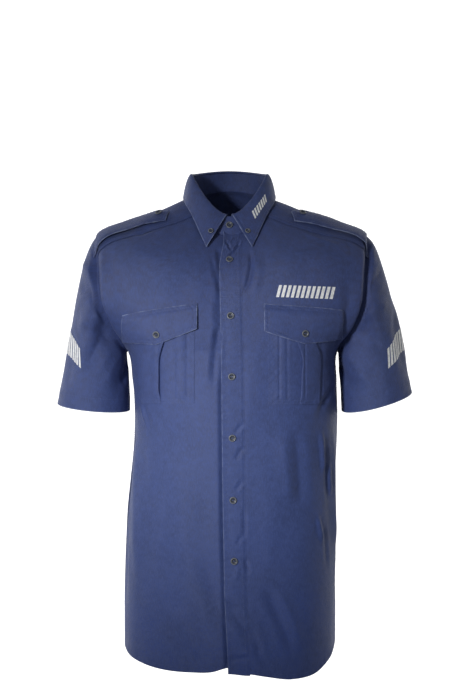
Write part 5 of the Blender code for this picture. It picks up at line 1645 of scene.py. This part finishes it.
class SHIRT_OT_back(bpy.types.Operator):
    """The back, the yoke over the shoulders and their felled seams"""

    bl_idname = "shirt.back"
    bl_label = "Back and yoke"

    def execute(self, context):
        points, normal = back_panel()
        made, panel = cloth_between(
            "shirt_back", points, normal, hem_layers(points), ["low"], edge_wear_and_highlight=0.5, nodes=["back"]
        )
        lines = [inset(panel, "low", HEM_WIDTH, 0.002, 0.002)]
        lines += [inset(panel, edge, d, HEM_WIDTH, 0.004) for edge in ("near", "far") for d in (NEAR_STITCH, FELL)]
        points, normal = yoke_panel()
        made, panel = cloth_between(
            "shirt_yoke", points, normal, 1.3, ["low", "near", "far"], edge_wear_and_highlight=0.0, nodes=["yoke"]
        )
        lines += [inset(panel, edge, d, d, 0.006) for edge in ("near", "far") for d in (NEAR_STITCH, FELL)]
        lines += [inset(panel, "low", d, d, d) for d in (NEAR_STITCH, FELL)]
        sew("stitches_back", lines)
        return {"FINISHED"}


class SHIRT_OT_sleeves(bpy.types.Operator):
    """Both sleeves with their hems and armhole seams"""

    bl_idname = "shirt.sleeves"
    bl_label = "Sleeves"

    def execute(self, context):
        lines = []
        for name in ("left", "right"):
            side = CUFFS[name].side
            points, normal = sleeve_panel(name)
            from_hem = edge_distances(points, ["high"])
            layers = 1 + 0.8 * (1 - ease(from_hem, SLEEVE_HEM - 0.0008, SLEEVE_HEM + 0.0008))
            made, panel = cloth_between(
                "shirt_sleeve_" + name, points, normal, layers, ["high"], closed=True, nodes=["sleeve_" + name]
            )
            hem, up = inset(panel, "high", SLEEVE_HEM)
            lines.append((np.concatenate([hem, hem[:1]]), np.concatenate([up, up[:1]])))
            phi = np.linspace(-86, 266, 200)
            for grow in (NEAR_STITCH, FELL + 0.0005):
                ring_turn, ring_climb = armhole_place(side, phi, grow)
                lift = FELL_RISE + LAP_RISE * (ring_climb > FRONT_YOKE_SEAM) + 0.0004
                lines.append(on_torso(ring_turn, ring_climb, lift))
        sew("stitches_sleeves", lines)
        return {"FINISHED"}


class SHIRT_OT_collar(bpy.types.Operator):
    """The collar's stand and its folded leaf"""

    bl_idname = "shirt.collar"
    bl_label = "Collar"

    def execute(self, context):
        points, normal = stand_panel()
        made, panel = cloth_between(
            "shirt_collar_stand", points, normal, 2.0, ["low", "near", "far"], edge_wear_and_highlight=0.1, nodes=["collar_stand"]
        )
        lines = [inset(panel, "low", 0.0030, 0.004, 0.004), inset(panel, "far", 0.0030, 0.004, 0.006)]
        points, normal = leaf_panel()
        made, panel = cloth_between(
            "shirt_collar_leaf", points, normal, 2.1, ["high", "near", "far"], nodes=["collar_leaf"]
        )
        lines += [inset(panel, "high", FAR_STITCH, FAR_STITCH, FAR_STITCH)]
        lines += [inset(panel, edge, FAR_STITCH, 0.012, FAR_STITCH) for edge in ("near", "far")]
        sew("stitches_collar", lines)
        return {"FINISHED"}


class SHIRT_OT_pockets(bpy.types.Operator):
    """The chest pockets with their pleats and flaps"""

    bl_idname = "shirt.pockets"
    bl_label = "Pockets and flaps"

    def execute(self, context):
        lines, bars = [], []
        for name in ("left", "right"):
            inner, outer, normal = pocket_grids(name)
            mesh = shell("shirt_pocket_" + name, inner, outer, edges=["high", "near", "far"], edge_wear_and_highlight=0.2)
            made = piece("shirt_pocket_" + name, mesh, cloth_finish(), "pocket_" + name)
            panel = Panel(outer, normal)
            for d in (NEAR_STITCH, FAR_STITCH):
                lines.append(inset(panel, "high", d, d, d))
                lines += [inset(panel, edge, d, 0.016, d) for edge in ("near", "far")]
            points, normal = flap_panel(name)
            made, panel = cloth_between(
                "shirt_flap_" + name, points, normal, 2.2, ["low", "high", "near", "far"], nodes=["flap_" + name]
            )
            lines += [inset(panel, edge, FAR_STITCH, FAR_STITCH, FAR_STITCH) for edge in ("high", "low", "near", "far")]
            lines.append(inset(panel, "low", NEAR_STITCH, NEAR_STITCH, NEAR_STITCH))
            for corner in (2, -3):
                way = panel.outer[3, corner] - panel.outer[3, corner - 1]
                bars.append(tacks(panel.outer[4, corner], way, panel.normal[4, corner], 0.0060, 0.0020, 14))
        sew("stitches_pockets", lines, bars)
        return {"FINISHED"}


class SHIRT_OT_straps(bpy.types.Operator):
    """The shoulder straps"""

    bl_idname = "shirt.straps"
    bl_label = "Shoulder straps"

    def execute(self, context):
        lines = []
        for name, side in (("left", 1), ("right", -1)):
            points, normal = strap_panel(side)
            made, panel = cloth_between(
                "shirt_strap_" + name, points, normal, 2.4, ["low", "high", "near", "far"],
                nodes=["epaulette_" + name],
            )
            lines += [inset(panel, edge, 0.0055, 0.0055, 0.0055) for edge in ("high", "near", "far")]
        sew("stitches_straps", lines)
        return {"FINISHED"}


class SHIRT_OT_strips(bpy.types.Operator):
    """Plain reflective bars on the chest, the collar and both sleeves"""

    bl_idname = "shirt.strips"
    bl_label = "Reflective strips"

    def execute(self, context):
        starts = np.arange(CHEST_STRIP_X[0], CHEST_STRIP_X[1] - BAR_WIDTH, BAR_WIDTH + BAR_GAP)

        def on_chest(x, z):
            fall = CHEST_STRIP_FALL * (x - CHEST_STRIP_X[0]) / (CHEST_STRIP_X[1] - CHEST_STRIP_X[0])
            return on_torso(*place_at(x, z - fall), 0.0006)

        low, high = CHEST_STRIP_Z[1], CHEST_STRIP_Z[0]
        grids = bar_grids(starts, low, high, BAR_SLANT, on_chest, BAR_WIDTH)
        piece("strip_chest", bars_mesh("strip_chest", *grids), strip_finish(), slot="reflective_strip")
        per_degree = SLEEVE_ROUND / 360
        for name in ("left", "right"):
            step = (BAR_WIDTH + BAR_GAP) / per_degree
            starts = np.arange(*SLEEVE_STRIP_PHI, step)
            near, far = SLEEVE_STRIP_REACH[name]

            def on_arm(phi, reach, name=name):
                return on_sleeve(name, phi, reach, 0.0006)

            grids = bar_grids(starts, far, near, BAR_SLANT / per_degree, on_arm, BAR_WIDTH / per_degree)
            label = "strip_sleeve_" + name
            piece(label, bars_mesh(label, *grids), strip_finish(), slot="reflective_strip")
        step = (COLLAR_STRIP_TURN[1] - COLLAR_STRIP_TURN[0]) / 7
        starts = COLLAR_STRIP_TURN[0] + step * np.arange(7)

        def on_collar(turn, share):
            return on_leaf(turn, share, 0.0009)

        grids = bar_grids(starts, COLLAR_STRIP_SHARE[1], COLLAR_STRIP_SHARE[0], step * 0.6, on_collar, step * 0.6)
        piece("strip_collar", bars_mesh("strip_collar", *grids), strip_finish(), slot="reflective_strip")
        return {"FINISHED"}


class SHIRT_OT_buttons(bpy.types.Operator):
    """The buttons, their sewing and their buttonholes"""

    bl_idname = "shirt.buttons"
    bl_label = "Buttons and buttonholes"

    def execute(self, context):
        bars, holes = [], []
        for node_name, spot, normal, way, radius, hole_way in button_spots():
            centre = spot + normal * 0.0005
            mesh = button_mesh("shirt_" + node_name, centre, normal, way, radius)
            piece("shirt_" + node_name, mesh, button_finish(), node_name, slot="button")
            side = np.cross(way, normal)
            top = centre + normal * BUTTON_THICK * 0.50
            for offset in (-0.19, 0.19):
                for strand in (-0.045, 0.0, 0.045):
                    foot = top + side * radius * (offset + strand)
                    reach = way * radius * 0.21
                    bars.append((foot[None] - reach, foot[None] + reach, normal[None]))
            if radius == BUTTON_RADIUS:
                holes += buttonhole(spot - normal * 0.0001, hole_way, normal)
        sew("button_threads", [], bars)
        sew("buttonholes", [], holes)
        return {"FINISHED"}


class SHIRT_OT_stage(bpy.types.Operator):
    """Floor and backdrop, soft lights and the camera"""

    bl_idname = "shirt.stage"
    bl_label = "Stage"

    def execute(self, context):
        stage = context.scene.shirt_stage
        backdrop(stage)
        pool_light("front_light", (-1.15, -2.55, -0.02), (-0.060, -0.12, -0.335), stage.key_power)
        soft_light("side_light", (-2.2, 0.5, 0.3), (-0.2, 0, -0.25), 1.2, stage.rim_power)
        lens = bpy.data.cameras.new("photo_camera")
        lens.sensor_width = 36.0
        lens.lens = 1920.0 / 699.0 * 36.0
        lens.clip_start, lens.clip_end = 0.1, 40.0
        camera = bpy.data.objects.new("photo_camera", lens)
        context.scene.collection.objects.link(camera)
        camera.location = (0.0025, -3.2, -0.249)
        camera.rotation_euler = (np.pi / 2, 0, 0)
        context.scene.camera = camera
        context.scene.view_settings.view_transform = "Standard"
        context.scene.view_settings.look = "None"
        world = bpy.data.worlds.new("room")
        world.use_nodes = True
        world.node_tree.nodes["Background"].inputs[0].default_value = (0.75, 0.76, 0.78, 1)
        world.node_tree.nodes["Background"].inputs[1].default_value = 0.1
        context.scene.world = world
        return {"FINISHED"}


def backdrop(stage):
    """Round backdrop: a floor disc that curves up into a wall all round, brighter behind the shirt."""
    bend = np.radians(np.linspace(0, 90, 13))
    radius = np.concatenate([[0.02, 1.0, 3.0, 5.0], 5.0 + 1.5 * np.sin(bend)[1:], [6.5, 6.5]])
    height = np.concatenate([[0, 0, 0, 0], 1.5 * (1 - np.cos(bend))[1:], [4.5, 7.5]]) + stage.floor_height
    angle = np.linspace(0, 2 * np.pi, 96, endpoint=False)
    points = np.stack(
        [radius[:, None] * np.cos(angle), radius[:, None] * np.sin(angle), height[:, None] + 0 * angle], axis=-1
    )
    index = np.arange(len(radius) * 96).reshape(-1, 96)
    after = np.roll(index, -1, axis=1)
    quads = np.stack([index[:-1], index[1:], after[1:], after[:-1]], axis=-1).reshape(-1, 4)[:, ::-1]
    centre = len(radius) * 96
    cap = np.stack([0 * index[0] + centre, index[0], after[0]], axis=-1)
    all_points = np.concatenate([points.reshape(-1, 3), [[0, 0, stage.floor_height]]])
    mesh = mesh_from("backdrop", all_points, [quads, cap])
    mesh.shade_smooth()
    made, tree, shader = new_finish("backdrop_paint")
    place = node(tree, "ShaderNodeTexCoord").outputs["Object"]
    depth = node(tree, "ShaderNodeSeparateXYZ", {"Vector": place}).outputs["Y"]
    glow = ranged(tree, depth, 0.5, 3.2, stage.front_glow, stage.back_glow)
    shader.inputs["Base Color"].default_value = (0.30, 0.30, 0.30, 1)
    shader.inputs["Roughness"].default_value = 1.0
    shader.inputs["Specular IOR Level"].default_value = 0.0
    shader.inputs["Emission Color"].default_value = (1, 1, 1, 1)
    tree.links.new(glow, shader.inputs["Emission Strength"])
    mesh.materials.append(made)
    floor = bpy.data.objects.new("backdrop", mesh)
    bpy.context.scene.collection.objects.link(floor)


def pool_light(name, place, target, power):
    """Broad spot light whose soft pool falls on the middle of the shirt and fades towards its ends."""
    light = bpy.data.lights.new(name, "SPOT")
    light.shadow_soft_size, light.spot_size, light.spot_blend = 0.22, np.radians(20), 1.0
    light.energy = power
    aim(bpy.data.objects.new(name, light), place, target)


def soft_light(name, place, target, size, power):
    """Square area light at place, facing target."""
    light = bpy.data.lights.new(name, "AREA")
    light.size, light.energy = size, power
    aim(bpy.data.objects.new(name, light), place, target)


def aim(made, place, target):
    """Put a light at place and turn it to face target."""
    bpy.context.scene.collection.objects.link(made)
    back = np.array(place, float) - np.array(target, float)
    back /= np.linalg.norm(back)
    made.location = place
    made.rotation_euler = (np.arccos(back[2]), 0, np.arctan2(back[1], back[0]) + np.pi / 2)


OPERATORS = (
    SHIRT_OT_fronts,
    SHIRT_OT_back,
    SHIRT_OT_sleeves,
    SHIRT_OT_collar,
    SHIRT_OT_pockets,
    SHIRT_OT_straps,
    SHIRT_OT_strips,
    SHIRT_OT_buttons,
    SHIRT_OT_stage,
)


class SHIRT_PT_panel(bpy.types.Panel):
    """Sizes, colours and steps of the shirt"""

    bl_idname = "SHIRT_PT_panel"
    bl_label = "Police uniform shirt"
    bl_space_type = "VIEW_3D"
    bl_region_type = "UI"
    bl_category = "Shirt"

    def draw(self, context):
        scene = context.scene
        for settings in (scene.shirt_cloth, scene.shirt_buttons, scene.shirt_stage):
            box = self.layout.box()
            for name in settings.__annotations__:
                box.prop(settings, name)
        for operator in OPERATORS:
            self.layout.operator(operator.bl_idname)


CLASSES = (ShirtCloth, ShirtButtons, ShirtStage, *OPERATORS, SHIRT_PT_panel)


def register():
    for made in CLASSES:
        bpy.utils.register_class(made)
    bpy.types.Scene.shirt_cloth = PointerProperty(type=ShirtCloth)
    bpy.types.Scene.shirt_buttons = PointerProperty(type=ShirtButtons)
    bpy.types.Scene.shirt_stage = PointerProperty(type=ShirtStage)


def unregister():
    del bpy.types.Scene.shirt_stage
    del bpy.types.Scene.shirt_buttons
    del bpy.types.Scene.shirt_cloth
    for made in reversed(CLASSES):
        bpy.utils.unregister_class(made)


def main():
    register()
    bpy.ops.shirt.fronts()
    bpy.ops.shirt.back()
    bpy.ops.shirt.sleeves()
    bpy.ops.shirt.collar()
    bpy.ops.shirt.pockets()
    bpy.ops.shirt.straps()
    bpy.ops.shirt.strips()
    bpy.ops.shirt.buttons()
    bpy.ops.shirt.stage()


if __name__ == "__main__":
    main()
